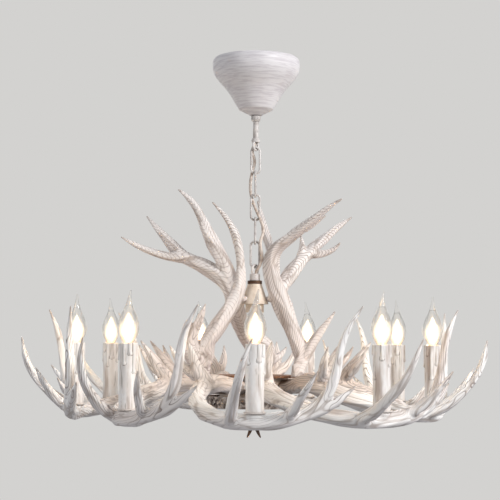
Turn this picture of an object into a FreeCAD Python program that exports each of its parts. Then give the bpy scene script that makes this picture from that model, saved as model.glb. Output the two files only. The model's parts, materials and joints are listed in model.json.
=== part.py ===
"""Antler chandelier: nine candle lamps on nine cast antlers, three more antlers above, hung on a chain.

Millimetres, +Z up. The origin is on the ceiling plane, at the middle of the ceiling bracket.
The photographed front faces -Y. Heights of the lamp are given as drops below the ceiling.
"""
import FreeCAD, Part
import math
import os

V = FreeCAD.Vector
UP = V(0, 0, 1)

# ---------------------------------------------------------------- clearances
slip_gap = 0.05            # shaft in its own bore
loose_gap = 0.3            # free clearance between neighbouring pieces
bolt_gap = 0.15            # bolt shank in its hole
eps = 0.5                  # how far a cutting tool runs past the face it opens

# ---------------------------------------------------------------- ceiling bracket and canopy
bracket_length = 112.0
bracket_width = 22.0
bracket_sheet = 2.5
bracket_offset = 26.0      # drop of the bracket's middle below its feet
bracket_foot = 22.0        # length of each foot that lies on the ceiling
bracket_lean = 0.15        # sideways run of each sloped leg for its drop
fixing_spacing = 88.0      # between the two ceiling screw slots
fixing_slot_length = 12.0
fixing_slot_width = 5.0
canopy_radius = 79.0
canopy_height = 103.0
canopy_wall = 1.5
canopy_floor_radius = 31.0
canopy_floor_fall = 11.0   # the floor slopes down to its middle by this much
collar_radius = 8.5
collar_height = 11.0
terminal_length = 16.0
terminal_width = 18.0
terminal_height = 9.0
terminal_reach = 19.5      # middle of the terminal block from the rod

# ---------------------------------------------------------------- drop rod and chain
rod_radius = 5.0
rod_bore_radius = 3.4
rod_above_bracket = 6.0
rod_end_drop = 149.0
nut_across_flats = 17.0
nut_height = 5.0
loop_hub_radius = 6.6
loop_hub_height = 7.0
loop_thread_depth = 4.0
loop_ring_radius = 8.0     # middle of the wire
loop_wire = 4.4
loop_turn = 60.0           # both end loops stand askew to the chain
link_count = 5
link_pitch = 46.9          # middle of one end wire to middle of the other
link_width = 19.6          # outside
link_wire = 4.0

# ---------------------------------------------------------------- neck cap and middle column
cap_ring_radius = 9.4
cap_ring_wire = 4.6
cap_collar_radius = 9.2
cap_collar_height = 12.0
cap_stud_length = 24.0
washer_radius = 13.0
washer_height = 6.0
cap_top_radius = 12.5
cap_bottom_radius = 25.0
cap_height = 36.0
cap_wall = 2.0
cap_top_thickness = 4.0
cap_skirt_radius = 16.5
cap_skirt_height = 15.0
column_radius = 9.0
column_flange_radius = 14.0
column_flange_height = 6.0

# ---------------------------------------------------------------- hub
hub_top_drop = 571.0
plate_radius = 75.0
plate_thickness = 4.0
plate_edge = 1.2           # rounding of the plate's rim
drum_apothem = 58.0
drum_height = 51.0
drum_wall = 2.0
pan_radius = 85.0
pan_height = 20.0
pan_wall = 2.0
pan_hole_radius = 2.6
pan_hole_count = 40
ring_terminal_radius = 16.0
ring_terminal_height = 14.0
finial_length = 53.0
finial_nut_radius = 12.0
finial_nut_height = 8.0
finial_taper = 5.0         # height of the cone between nut and neck
column_in_finial = 5.6     # thread depth of the column in the dome nut
finial_neck_radius = 5.5
finial_ball_radius = 9.5
prong_count = 4
prong_spread = 17.0

# ---------------------------------------------------------------- candles
lamp_count = 9
candle_ring_radius = 316.0
seat_drop = 623.0          # flat seat of each candle, below the ceiling
seat_radius = 15.0
seat_boss_height = 14.0
cup_radius = 17.5
cup_thickness = 3.0
cup_spigot_height = 6.0
sleeve_radius = 14.5
sleeve_wall = 1.5
sleeve_height = 105.0
drip_radius = 2.0
stem_radius = 5.0
stem_bore_radius = 3.2
stem_in_seat = 10.0
holder_radius = 11.5
holder_height = 42.0
holder_below_top = 5.5
holder_bore_radius = 7.3
holder_bore_depth = 26.5
base_radius = 6.9
base_height = 25.0
base_wall = 0.6
glass_wall = 0.8
filament_wire = 0.7
stem_post_radius = 1.6     # glass stem inside the bulb
stem_flare_radius = 5.5
lead_radius = 2.0
lead_bore_radius = 2.8
lead_above_bolt = 10.0     # lead hole above the bolt hole in each antler root
lead_under_seat = 19.0     # lowest point of the lead, below the candle's seat
root_bolt_radius = 2.5
root_bolt_length = 16.0
root_bolt_head_radius = 4.5
root_bolt_head_height = 4.0

# ---------------------------------------------------------------- upper antlers
foot_side = 44.6           # each foot stands on a lower antler's root, this far beside its candle's line
foot_reach = 82.8          # and this far from the column, towards the candle
foot_radius = 10.0
foot_drop = 2.0            # foot face below the top of the hub plate
foot_clearance_radius = 14.0
foot_stud_radius = 2.5
foot_stud_length = 22.0
foot_stud_depth = 7.0      # of that, in the lower antler
neck_screw_radius = 2.0
neck_screw_length = 14.0
neck_screw_head_radius = 3.5
neck_screw_head_height = 3.0
neck_screw_rise = 9.0      # above the neck cap's edge
neck_screw_start = 18.0    # head's inner end, from the middle
neck_lug_radius = 5.5

# ---------------------------------------------------------------- power cord
cord_radius = 2.7
cord_mouth_radius = 3.7    # bore of the rod loop and of the cap loop's stud

# ---------------------------------------------------------------- derived levels
lamp_pitch = 360.0 / lamp_count
rod_top = -(bracket_offset - rod_above_bracket)
bracket_floor_top = -bracket_offset
bracket_floor_bottom = bracket_floor_top - bracket_sheet
collar_top = -canopy_height
collar_bottom = collar_top - collar_height
rod_bottom = -rod_end_drop
loop_hub_top = rod_bottom + loop_thread_depth
loop_hub_bottom = loop_hub_top - loop_hub_height
loop_centre = loop_hub_bottom + loop_wire / 2.0 - loop_ring_radius
first_contact = loop_centre - loop_ring_radius
link_step = link_pitch - link_wire - loose_gap
end_wires = (loop_wire + link_wire) / 2.0 + loose_gap
first_link_bottom = first_contact + end_wires - link_pitch
last_link_bottom = first_link_bottom - (link_count - 1) * link_step
cap_ring_top_wire = last_link_bottom + (link_wire + cap_ring_wire) / 2.0 + loose_gap
cap_ring_centre = cap_ring_top_wire - cap_ring_radius
cap_collar_top = cap_ring_centre - cap_ring_radius + cap_ring_wire / 2.0
cap_collar_bottom = cap_collar_top - cap_collar_height
cap_top = cap_collar_bottom - washer_height
cap_bottom = cap_top - cap_height
column_top = cap_top - cap_top_thickness
plate_top = -hub_top_drop
plate_bottom = plate_top - plate_thickness
foot_level = plate_top - foot_drop
neck_screw_level = cap_bottom + neck_screw_rise
drum_bottom = plate_bottom - drum_height
pan_bottom = drum_bottom - pan_wall
pan_top = pan_bottom + pan_height
root_level = plate_bottom - 16.0
bolt_level = root_level - lead_above_bolt / 2.0
lead_level = root_level + lead_above_bolt / 2.0
seat_level = -seat_drop
cup_top = seat_level + cup_thickness
sleeve_top = cup_top + sleeve_height
holder_top = sleeve_top - holder_below_top
holder_bottom = holder_top - holder_height
base_bottom = holder_top - holder_bore_depth + loose_gap
base_top = base_bottom + base_height


# ---------------------------------------------------------------- helpers
def rod_z(radius, low, high, x=0.0, y=0.0):
    """Upright cylinder between two heights."""
    return Part.makeCylinder(radius, high - low, V(x, y, low), UP)


def tube_z(outer, inner, low, high, x=0.0, y=0.0):
    """Upright tube between two heights."""
    bore = rod_z(inner, low - eps, high + eps, x, y)
    return rod_z(outer, low, high, x, y).cut(bore)


def box_at(centre_x, centre_y, size_x, size_y, low, high):
    corner = V(centre_x - size_x / 2.0, centre_y - size_y / 2.0, low)
    return Part.makeBox(size_x, size_y, high - low, corner)


def turned(shape, degrees):
    """Copy of a shape turned about the chandelier's upright axis."""
    copy = shape.copy()
    copy.rotate(V(0, 0, 0), UP, degrees)
    return copy


def polar(radius, degrees, height):
    """Point at an angle counted from the front, positive to the right seen from the front."""
    angle = math.radians(degrees)
    return V(radius * math.sin(angle), -radius * math.cos(angle), height)


def revolved(profile):
    """Solid turned from a closed profile of (radius, height) pairs."""
    points = [V(radius, 0, height) for radius, height in profile]
    face = Part.Face(Part.makePolygon(points + [points[0]]))
    return face.revolve(V(0, 0, 0), UP, 360)


def hexagon_nut(across_flats, low, high):
    radius = across_flats / math.sqrt(3.0)
    points = [V(radius * math.cos(math.radians(a)), radius * math.sin(math.radians(a)), low)
              for a in range(0, 361, 60)]
    return Part.Face(Part.makePolygon(points)).extrude(UP * (high - low))


def screw(head_point, direction, shank_radius, shank_length, head_radius, head_height):
    """Screw whose head's underside is at head_point and whose shank runs along direction."""
    along = V(direction).normalize()
    head = Part.makeCylinder(head_radius, head_height, head_point - along * head_height, along)
    shank = Part.makeCylinder(shank_radius, shank_length, head_point, along)
    return head.fuse(shank)


def limb(stations, steps=2):
    """Tapered, curved solid through (x, y, z, radius) stations, as one smooth loft."""
    points = [V(s[0], s[1], s[2]) for s in stations]
    radii = [s[3] for s in stations]
    curve = Part.BSplineCurve()
    knots = [0.0]
    for before, after in zip(points, points[1:]):
        knots.append(knots[-1] + (after - before).Length)
    curve.interpolate(Points=points, Parameters=knots)
    at = []
    for i in range(len(points) - 1):
        for j in range(steps):
            at.append((i, j / float(steps)))
    at.append((len(points) - 2, 1.0))
    wires = []
    side = None
    for i, share in at:
        u = knots[i] + (knots[i + 1] - knots[i]) * share
        centre = curve.value(u)
        along = curve.tangent(u)[0]
        if side is None:
            side = along.cross(UP)
            if side.Length < 0.1:
                side = V(1, 0, 0)
        side = side - along * side.dot(along)
        side.normalize()
        other = along.cross(side)
        radius = radii[i] + (radii[i + 1] - radii[i]) * share
        wire = Part.Wire(Part.Circle(V(), UP, radius).toShape())
        wire.Placement = FreeCAD.Placement(FreeCAD.Matrix(
            side.x, other.x, along.x, centre.x,
            side.y, other.y, along.y, centre.y,
            side.z, other.z, along.z, centre.z,
            0, 0, 0, 1))
        wires.append(wire)
    return Part.makeLoft(wires, True, False)


def rounded_path(points, label):
    """Straight runs joined by tangent arcs, each arc as large as its two runs allow."""
    edges = []
    start = points[0]
    radii = []
    for before, corner, after in zip(points, points[1:], points[2:]):
        inward = corner - before
        outward = after - corner
        run = min(inward.Length, outward.Length)
        inward.normalize()
        outward.normalize()
        half_turn = math.acos(max(-1.0, min(1.0, inward.dot(outward)))) / 2.0
        reach = 0.45 * run
        first = corner - inward * reach
        last = corner + outward * reach
        radius = reach / math.tan(half_turn)
        radii.append(radius)
        bisector = (outward - inward).normalize()
        middle = corner + bisector * (radius / math.cos(half_turn) - radius)
        edges.append(Part.LineSegment(start, first).toShape())
        edges.append(Part.Arc(first, middle, last).toShape())
        start = last
    edges.append(Part.LineSegment(start, points[-1]).toShape())
    print(label, "bend radii mm:", [round(r, 1) for r in radii])
    return Part.Wire(edges)


def tube_along(path, radius, label):
    """Round tube along a path, with its volume compared with its section times its length."""
    first = path.Edges[0]
    start = first.valueAt(first.FirstParameter)
    ring = Part.Wire(Part.Circle(start, first.tangentAt(first.FirstParameter), radius).toShape())
    solid = path.makePipeShell([ring], True, False)
    expected = math.pi * radius ** 2 * path.Length
    print(label, "length mm:", round(path.Length, 1), "volume / (section x length):",
          round(solid.Volume / expected, 4))
    return solid


# ---------------------------------------------------------------- ceiling end
def make_ceiling_bracket():
    """Bent strap: two feet on the ceiling with screw slots and a dropped middle for the rod."""
    half = bracket_length / 2.0
    knee = half - bracket_foot
    slope = bracket_offset * bracket_lean
    leg = math.hypot(slope, bracket_offset)
    outer_top = knee + bracket_sheet * (leg - slope) / bracket_offset
    outer_foot = outer_top - slope
    right = [
        (knee - slope, -bracket_offset), (knee, 0), (half, 0), (half, -bracket_sheet),
        (outer_top, -bracket_sheet), (outer_foot, -bracket_offset - bracket_sheet)]
    outline = right + [(-x, z) for x, z in reversed(right)]
    points = [V(x, -bracket_width / 2.0, z) for x, z in outline]
    strap = Part.Face(Part.makePolygon(points + [points[0]])).extrude(V(0, bracket_width, 0))
    for sign in (-1, 1):
        centre = sign * fixing_spacing / 2.0
        flat = fixing_slot_length - fixing_slot_width
        low = -bracket_sheet - eps
        slot = box_at(centre, 0, flat, fixing_slot_width, low, eps)
        for end in (-1, 1):
            slot = slot.fuse(rod_z(fixing_slot_width / 2.0, low, eps, centre + end * flat / 2.0))
        strap = strap.cut(slot.removeSplitter())
    return strap.cut(rod_z(rod_radius + slip_gap, bracket_floor_bottom - eps, bracket_floor_top + eps))


def make_terminal_block():
    """Mains terminal block screwed to the bracket, with an entry hole for the cord on top."""
    top = bracket_floor_top + terminal_height
    block = box_at(terminal_reach, 0, terminal_length, terminal_width, bracket_floor_top, top)
    for side in (-1, 1):
        block = block.cut(rod_z(2.0, top - 5.0, top + eps, terminal_reach, side * 6.0))
    return block


def make_rod_nuts():
    """Two hexagon nuts that clamp the bracket on the rod."""
    upper = hexagon_nut(nut_across_flats, bracket_floor_top, bracket_floor_top + nut_height)
    lower = hexagon_nut(nut_across_flats, bracket_floor_bottom - nut_height, bracket_floor_bottom)
    bore = rod_z(rod_radius + slip_gap, bracket_floor_bottom - 2 * nut_height,
                 bracket_floor_top + 2 * nut_height)
    return Part.makeCompound([upper.cut(bore), lower.cut(bore)])


def make_canopy():
    """Bell-shaped ceiling cover with a rolled rim, a sloping floor and a hole for the rod."""
    swell = canopy_radius - canopy_floor_radius
    side = canopy_height - canopy_floor_fall
    outer = [
        (canopy_radius - 3.5, 0.0), (canopy_radius - 1.0, -3.5), (canopy_radius, -10.0),
        (canopy_radius - 0.4, -18.0), (canopy_radius - 3.2, -27.5),
        (canopy_floor_radius + 0.80 * swell, -0.41 * side),
        (canopy_floor_radius + 0.48 * swell, -0.60 * side),
        (canopy_floor_radius + 0.23 * swell, -0.80 * side),
        (canopy_floor_radius, -side)]
    inner = [(r - 1.15 * canopy_wall, z) for r, z in outer[:-1]]
    inner.append((canopy_floor_radius - 1.15 * canopy_wall, canopy_wall - side))
    edges = []
    for profile in (outer, inner):
        curve = Part.BSplineCurve()
        curve.interpolate([V(r, 0, z) for r, z in profile])
        edges.append(curve.toShape())
    hole = rod_radius + loose_gap
    flat = collar_radius + 2.0
    under = [outer[-1], (flat, -canopy_height), (hole, -canopy_height),
             (hole, canopy_wall - canopy_height), (flat, canopy_wall - canopy_height), inner[-1]]
    for (r1, z1), (r2, z2) in list(zip(under, under[1:])) + [(inner[0], outer[0])]:
        edges.append(Part.LineSegment(V(r1, 0, z1), V(r2, 0, z2)).toShape())
    face = Part.Face(Part.Wire(Part.__sortEdges__(edges)))
    return face.revolve(V(0, 0, 0), UP, 360)


def make_canopy_collar():
    """Grip ring on the rod that carries the canopy."""
    body = revolved([
        (rod_radius + slip_gap, collar_top), (collar_radius - 1.0, collar_top),
        (collar_radius, collar_top - 1.0), (collar_radius, collar_bottom + 3.0),
        (collar_radius - 2.0, collar_bottom), (rod_radius + slip_gap, collar_bottom)])
    grooves = [rod_z(0.7, collar_bottom + 3.0, collar_top - 1.0, *polar(collar_radius, a, 0)[0:2])
               for a in range(0, 360, 20)]
    return body.cut(Part.makeCompound(grooves))


def make_drop_rod():
    return tube_z(rod_radius, rod_bore_radius, rod_bottom, rod_top)


def upright_ring(centre_height, radius, wire, turn):
    """Wire ring that stands upright, its plane turned from the front-facing plane."""
    ring = Part.makeTorus(radius, wire / 2.0, V(0, 0, centre_height), V(0, 1, 0))
    return turned(ring, turn)


def make_rod_loop():
    """Hub threaded on the rod's end with a closed ring below it for the chain."""
    hub = revolved([
        (cord_mouth_radius, loop_hub_top), (loop_hub_radius, loop_hub_top),
        (loop_hub_radius + 1.5, loop_hub_bottom + 2.0), (loop_hub_radius + 0.5, loop_hub_bottom),
        (cord_mouth_radius, loop_hub_bottom)])
    body = hub.fuse(upright_ring(loop_centre, loop_ring_radius, loop_wire, loop_turn))
    body = body.cut(rod_z(cord_mouth_radius, loop_hub_bottom - loop_wire / 2.0, loop_hub_top + eps))
    return body.cut(rod_z(rod_radius + slip_gap, rod_bottom, loop_hub_top + eps))


def make_chain_link(bottom, turn):
    """Long welded link: two straight sides and two round ends."""
    half = (link_width - link_wire) / 2.0
    low = bottom + half
    high = bottom + link_pitch - half
    disc = Part.Face(Part.Wire(Part.Circle(V(half, 0, 0), UP, link_wire / 2.0).toShape()))
    bend = disc.revolve(V(0, 0, 0), V(0, -1, 0), 180)
    upper = bend.copy()
    upper.translate(V(0, 0, high))
    lower = bend.copy()
    lower.rotate(V(0, 0, 0), V(0, 1, 0), 180)
    lower.translate(V(0, 0, low))
    sides = [rod_z(link_wire / 2.0, low, high, sign * half) for sign in (-1, 1)]
    link = upper.fuse([lower] + sides).removeSplitter()
    return turned(link, turn)


# ---------------------------------------------------------------- neck and hub
def make_cap_loop():
    """Ring, round collar and hollow stud that hangs the lamp on the chain."""
    body = rod_z(cap_collar_radius, cap_collar_bottom, cap_collar_top)
    body = body.fuse(rod_z(stem_radius, cap_collar_bottom - cap_stud_length, cap_collar_bottom + eps))
    body = body.fuse(upright_ring(cap_ring_centre, cap_ring_radius, cap_ring_wire, loop_turn))
    bore_top = cap_collar_top + cap_ring_wire / 2.0
    return body.cut(rod_z(cord_mouth_radius, cap_collar_bottom - cap_stud_length - eps, bore_top))


def make_cap_washer():
    return tube_z(washer_radius, stem_radius + slip_gap, cap_top, cap_collar_bottom)


def cap_cone(extra):
    """Outer cone of the neck cap, grown by a clearance."""
    return Part.makeCone(cap_bottom_radius + extra, cap_top_radius + extra, cap_height,
                         V(0, 0, cap_bottom), UP)


def make_neck_cap(screw_angles):
    """Hollow cone over the column, with an inner sleeve that shows below its edge."""
    rise = cap_height - cap_top_thickness
    slope = (cap_bottom_radius - cap_top_radius) / cap_height
    inner_top = cap_bottom_radius - cap_wall - slope * rise
    cone = cap_cone(0.0).cut(
        Part.makeCone(cap_bottom_radius - cap_wall, inner_top, rise, V(0, 0, cap_bottom), UP))
    sleeve_low = cap_bottom - cap_skirt_height
    sleeve = tube_z(cap_skirt_radius, cap_skirt_radius - cap_wall, sleeve_low, cap_bottom + cap_wall)
    web = tube_z(cap_bottom_radius - cap_wall / 2.0, column_radius + loose_gap, cap_bottom,
                 cap_bottom + cap_wall)
    cap = cone.fuse([sleeve, web])
    cap = cap.cut(rod_z(stem_radius + slip_gap, cap_top - cap_top_thickness - eps, cap_top + eps))
    holes = [neck_screw_shape(angle, bolt_gap) for angle in screw_angles]
    return cap.cut(Part.makeCompound(holes))


def neck_screw_shape(angle, grow):
    """Shank space of one neck screw, from inside the cap outwards."""
    start = polar(neck_screw_start, angle, neck_screw_level)
    outward = polar(1.0, angle, 0)
    return Part.makeCylinder(neck_screw_radius + grow, neck_screw_length + grow, start, outward)


def make_center_column():
    """Tube from the neck cap through the hub, with a flange on the hub plate and a wire window."""
    bore = stem_radius + slip_gap
    column = tube_z(column_radius, bore, pan_bottom - column_in_finial, column_top)
    column = column.fuse(tube_z(column_flange_radius, bore, plate_top, plate_top + column_flange_height))
    window = box_at(0, 0, 3 * column_radius, 6.0, lead_level - 6.0, lead_level + 6.0)
    return column.cut(window)


def make_hub_plate():
    """Round plate that closes the drum from above."""
    plate = tube_z(plate_radius, column_radius + slip_gap, plate_bottom, plate_top)
    rim = [e for e in plate.Edges if abs(e.BoundBox.XMax - plate_radius) < 0.01]
    return plate.makeFillet(plate_edge, rim)


def nonagon(apothem, low, high, turn):
    """Upright prism with one flat face for each antler root."""
    radius = apothem / math.cos(math.radians(lamp_pitch / 2.0))
    points = [polar(radius, turn + lamp_pitch * (i + 0.5), low) for i in range(lamp_count + 1)]
    return Part.Face(Part.makePolygon(points)).extrude(UP * (high - low))


def make_hub_drum():
    """Nine-sided steel drum whose faces carry the antler roots."""
    drum = nonagon(drum_apothem, drum_bottom, plate_bottom, root_angle)
    drum = drum.cut(nonagon(drum_apothem - drum_wall, drum_bottom - eps, plate_bottom + eps, root_angle))
    tools = []
    for i in range(lamp_count):
        angle = root_angle + lamp_pitch * i
        outward = polar(1.0, angle, 0)
        inner = drum_apothem - drum_wall - eps
        tools.append(Part.makeCylinder(root_bolt_radius + bolt_gap, drum_wall + 2 * eps,
                                       polar(inner, angle, bolt_level), outward))
        tools.append(Part.makeCylinder(lead_bore_radius, drum_wall + 2 * eps,
                                       polar(inner, angle, lead_level), outward))
    return drum.cut(Part.makeCompound(tools))


def make_hub_cover():
    """Shallow pan under the hub with two rows of holes round its wall."""
    pan = rod_z(pan_radius, pan_bottom, pan_top)
    pan = pan.cut(rod_z(pan_radius - pan_wall, drum_bottom, pan_top + eps))
    pan = pan.cut(rod_z(column_radius + slip_gap, pan_bottom - eps, drum_bottom + eps))
    tools = []
    for row in range(2):
        height = pan_bottom + pan_height * (0.36 + 0.36 * row)
        for i in range(pan_hole_count):
            angle = 360.0 / pan_hole_count * (i + 0.5 * row)
            start = polar(pan_radius - 2 * pan_wall, angle, height)
            tools.append(Part.makeCylinder(pan_hole_radius, 4 * pan_wall, start, polar(1.0, angle, 0)))
    return pan.cut(Part.makeCompound(tools))


def make_hub_terminal():
    """Insulating ring round the column where the lamp leads join the power cord."""
    low = lead_level - ring_terminal_height / 2.0
    return tube_z(ring_terminal_radius, column_radius + loose_gap, low, low + ring_terminal_height)


def make_finial():
    """Dome nut, neck and ball under the hub, ending in small splayed prongs."""
    top = pan_bottom
    shoulder = top - finial_nut_height
    ball = top - finial_length * 0.50
    drop = finial_length * 0.50
    taper = Part.makeCone(finial_neck_radius, finial_nut_radius, finial_taper,
                          V(0, 0, shoulder - finial_taper), UP)
    neck = rod_z(finial_neck_radius, ball, shoulder)
    sphere = Part.makeSphere(finial_ball_radius, V(0, 0, ball))
    body = rod_z(finial_nut_radius, shoulder, top).fuse([taper, neck, sphere])
    # each prong: share of its spread, share of the drop below the ball, radius
    prong = [(0.24, 0.12, 4.0), (0.45, 0.45, 3.4), (0.70, 0.75, 2.4), (1.00, 1.00, 0.9)]
    for i in range(prong_count):
        angle = 45.0 + 360.0 / prong_count * i
        stations = []
        for spread, fall, radius in prong:
            place = polar(spread * prong_spread, angle, ball - fall * drop)
            stations.append((place.x, place.y, place.z, radius))
        body = body.fuse(limb(stations))
    thread = rod_z(column_radius + slip_gap, pan_bottom - column_in_finial - loose_gap, top + eps)
    return body.cut(thread)


# ---------------------------------------------------------------- lower antlers
root_angle = -22.0         # where the antler's root meets the drum, counted from its candle
root_radius = 13.0


def beam_stations():
    """Main beam: out of the drum, round to the left, forward under the candle and off to the right."""
    reach = candle_ring_radius - drum_apothem
    start = polar(drum_apothem - 1.0, root_angle, root_level)
    near = polar(drum_apothem + 0.085 * reach, root_angle - 2.0, root_level + 1.0)
    stations = [(start.x, start.y, start.z, root_radius), (near.x, near.y, near.z, root_radius + 1.5)]
    inner = [(0.165, -64.0, 40.0, 16.5), (0.335, -91.0, 29.0, 16.2), (0.565, -92.0, 10.0, 15.4),
             (0.80, -68.0, -6.0, 14.4), (0.955, -30.0, -12.5, 13.6)]
    for share, side, rise, radius in inner:
        stations.append((side, -(drum_apothem + share * reach), seat_level + rise, radius))
    outer = [(14.0, 4.0, -12.5, 13.4), (60.0, 11.0, -4.0, 12.4), (100.0, 11.0, 8.0, 10.0),
             (130.0, 9.0, 24.0, 6.6), (155.0, 5.0, 44.0, 1.5)]
    for side, out, rise, radius in outer:
        stations.append((side, -(candle_ring_radius + out), seat_level + rise, radius))
    return stations


def tine(stations):
    """Tine whose stations are given from the candle seat: to the right, outward, up, radius."""
    return limb([(side, -(candle_ring_radius + out), seat_level + rise, radius)
                 for side, out, rise, radius in stations])


outward_tine = [(-40.0, -30.0, -12.0, 11.0), (-37.0, 6.0, -4.0, 10.6), (-33.0, 46.0, 23.0, 9.0),
                (-25.0, 74.0, 54.0, 7.4), (-16.0, 88.0, 86.0, 5.4), (-4.0, 94.0, 117.0, 1.3)]
tall_tine = [(62.0, 10.0, -3.0, 10.4), (97.0, 14.0, 15.0, 9.8), (119.0, 15.0, 48.0, 9.0),
             (128.0, 16.0, 87.0, 7.6), (140.5, 17.0, 127.0, 5.6), (166.0, 17.0, 167.0, 1.3)]
inner_tine = [(-78.0, -188.0, 36.0, 13.0), (-93.0, -176.0, 58.0, 12.4), (-103.0, -160.0, 84.0, 8.6),
              (-111.0, -140.0, 112.0, 1.3)]
inner_fork = [(-84.0, -184.0, 46.0, 11.0), (-110.0, -180.0, 62.0, 9.4), (-130.0, -174.0, 82.0, 6.4),
              (-142.0, -167.0, 104.0, 1.3)]
short_tine = [(48.0, 10.0, -4.0, 10.2), (59.0, 29.0, 8.0, 9.0), (70.0, 47.0, 28.0, 7.2),
              (83.0, 62.0, 50.0, 4.6), (92.0, 70.0, 66.0, 1.3)]


def lead_path():
    """Centre line of a lamp lead: hub terminal, drum wall, along the antler, up into the holder."""
    beam = [V(x, y, z) for x, y, z, _ in beam_stations()]
    points = [polar(ring_terminal_radius + loose_gap, root_angle, lead_level),
              polar(drum_apothem + 22.0, root_angle, lead_level)]
    points += beam[2:6]
    under_seat = seat_level - lead_under_seat
    points += [V(-26.0, -(candle_ring_radius - 10.0), under_seat + 2.0),
               V(0, -candle_ring_radius, under_seat),
               V(0, -candle_ring_radius, holder_bottom + 3.0)]
    return rounded_path(points, "lamp_lead")


def make_lower_antler():
    """One cast antler: beam, five tines and a boss with a flat seat for the candle."""
    tines = [outward_tine, tall_tine, short_tine, inner_tine, inner_fork]
    parts = [tine(stations) for stations in tines]
    candle_y = -candle_ring_radius
    boss = Part.makeCone(seat_radius - 1.5, seat_radius, seat_boss_height,
                         V(0, candle_y, seat_level - seat_boss_height), UP)
    antler = limb(beam_stations()).fuse(parts + [boss])
    clear = 2.6 * seat_radius
    above = box_at(0, candle_y, clear, clear, seat_level, seat_level + seat_radius)
    antler = antler.cut(above)
    inside = nonagon(drum_apothem, drum_bottom, plate_top + drum_height, root_angle)
    antler = antler.cut(inside)
    bolt = Part.makeCylinder(root_bolt_radius + bolt_gap, root_bolt_length,
                             polar(drum_apothem - eps, root_angle, bolt_level), polar(1.0, root_angle, 0))
    hole_end = seat_level - stem_in_seat
    stem_hole = rod_z(stem_radius + slip_gap, hole_end, seat_level + eps, 0, candle_y)
    lead_hole = tube_along(lead_path(), lead_bore_radius, "lead_hole")
    return antler.cut(bolt).cut(stem_hole).cut(lead_hole)


# ---------------------------------------------------------------- upper antlers
# Stations are (right, back, height over the hub plate, radius), each antler on its own foot.
left_trunk = [(-88.0, -36.0, 4.0, 11.5), (-93.0, -43.0, 20.0, 13.0), (-100.0, -50.0, 38.0, 14.5),
              (-109.0, -53.0, 57.0, 12.5), (-105.0, -56.0, 78.0, 10.0), (-95.0, -58.0, 100.0, 7.0),
              (-86.0, -60.0, 125.0, 1.5)]
left_stem = [(-96.0, -49.0, 40.0, 13.0), (-76.0, -47.0, 68.0, 14.5), (-53.0, -38.0, 103.0, 14.4),
             (-35.0, -28.0, 134.0, 13.0), (-26.0, -24.0, 168.0, 11.0), (-26.0, -30.0, 206.0, 8.8),
             (-35.0, -40.0, 246.0, 7.6), (-54.0, -49.0, 280.0, 5.0), (-76.0, -56.0, 304.0, 1.5)]
left_palm = [(-100.0, -46.0, 16.0, 11.0), (-112.0, -50.0, 34.0, 11.5), (-120.0, -52.0, 54.0, 10.5),
             (-121.0, -54.0, 74.0, 8.5), (-116.0, -56.0, 92.0, 5.0), (-108.0, -57.0, 106.0, 1.5)]
left_web = [(-90.0, -40.0, 10.0, 10.0), (-84.0, -43.0, 28.0, 12.0), (-82.0, -46.0, 48.0, 13.0),
            (-78.0, -47.0, 68.0, 12.5)]
right_trunk = [(75.0, -58.0, 4.0, 11.5), (81.0, -50.0, 22.0, 13.0), (92.0, -44.0, 42.0, 12.5),
               (105.0, -46.0, 63.0, 9.6), (122.0, -48.0, 86.0, 6.6), (141.0, -50.0, 113.0, 1.5)]
right_stem = [(84.0, -46.0, 30.0, 13.0), (75.0, -36.0, 60.0, 15.6), (57.0, -24.0, 104.0, 17.0),
              (41.0, -12.0, 146.0, 17.5), (29.0, -8.0, 190.0, 14.8), (35.0, -13.0, 220.0, 13.4),
              (57.0, -23.0, 240.0, 11.6), (80.0, -36.0, 258.0, 10.0), (104.0, -49.0, 276.0, 8.2),
              (128.0, -60.0, 295.0, 5.6), (152.0, -70.0, 310.0, 1.5)]
right_spur = [(76.0, -33.0, 254.0, 7.0), (101.0, -31.0, 266.0, 5.0), (126.0, -28.0, 285.0, 1.3)]
right_back_beam = [(42.0, -6.0, 144.0, 12.0), (62.0, 20.0, 179.0, 13.4), (83.0, 40.0, 206.0, 13.4),
                   (104.0, 56.0, 229.0, 11.6), (129.0, 72.0, 251.0, 9.2), (155.0, 86.0, 274.0, 6.4),
                   (182.0, 98.0, 294.0, 1.5)]
right_back_fork = [(97.0, 52.0, 222.0, 9.5), (124.0, 54.0, 222.0, 7.5), (145.0, 50.0, 230.0, 5.0),
                   (157.0, 46.0, 242.0, 1.3)]
right_back_spur = [(80.0, 38.0, 204.0, 10.5), (87.0, 44.0, 230.0, 7.6), (84.0, 50.0, 255.0, 1.5)]
right_chain_tine = [(33.0, -6.0, 196.0, 10.0), (29.0, 26.0, 224.0, 9.2), (21.0, 46.0, 254.0, 8.0),
                    (14.0, 56.0, 284.0, 6.0), (4.0, 61.0, 320.0, 1.5)]
back_trunk = [(14.0, 91.0, 4.0, 11.5), (22.0, 94.0, 18.0, 12.0), (36.0, 97.0, 26.0, 9.5),
              (50.0, 100.0, 36.0, 6.2), (61.0, 103.0, 50.0, 1.5)]
back_stem = [(14.0, 89.0, 12.0, 12.0), (6.0, 81.0, 40.0, 14.6), (-13.0, 66.0, 66.0, 15.4),
             (-27.0, 53.0, 96.0, 16.0), (-36.0, 41.0, 126.0, 17.2), (-44.0, 36.0, 155.0, 18.0),
             (-70.0, 42.0, 182.0, 15.8), (-102.0, 49.0, 201.0, 13.4), (-129.0, 53.0, 214.0, 12.0),
             (-155.0, 57.0, 238.0, 10.0), (-178.0, 60.0, 264.0, 7.2), (-201.0, 63.0, 290.0, 1.5)]
back_palm = [(18.0, 91.0, 8.0, 11.0), (27.0, 90.0, 26.0, 12.0), (27.0, 84.0, 46.0, 12.5),
             (10.0, 75.0, 64.0, 12.5), (-12.0, 66.0, 78.0, 12.0)]
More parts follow.
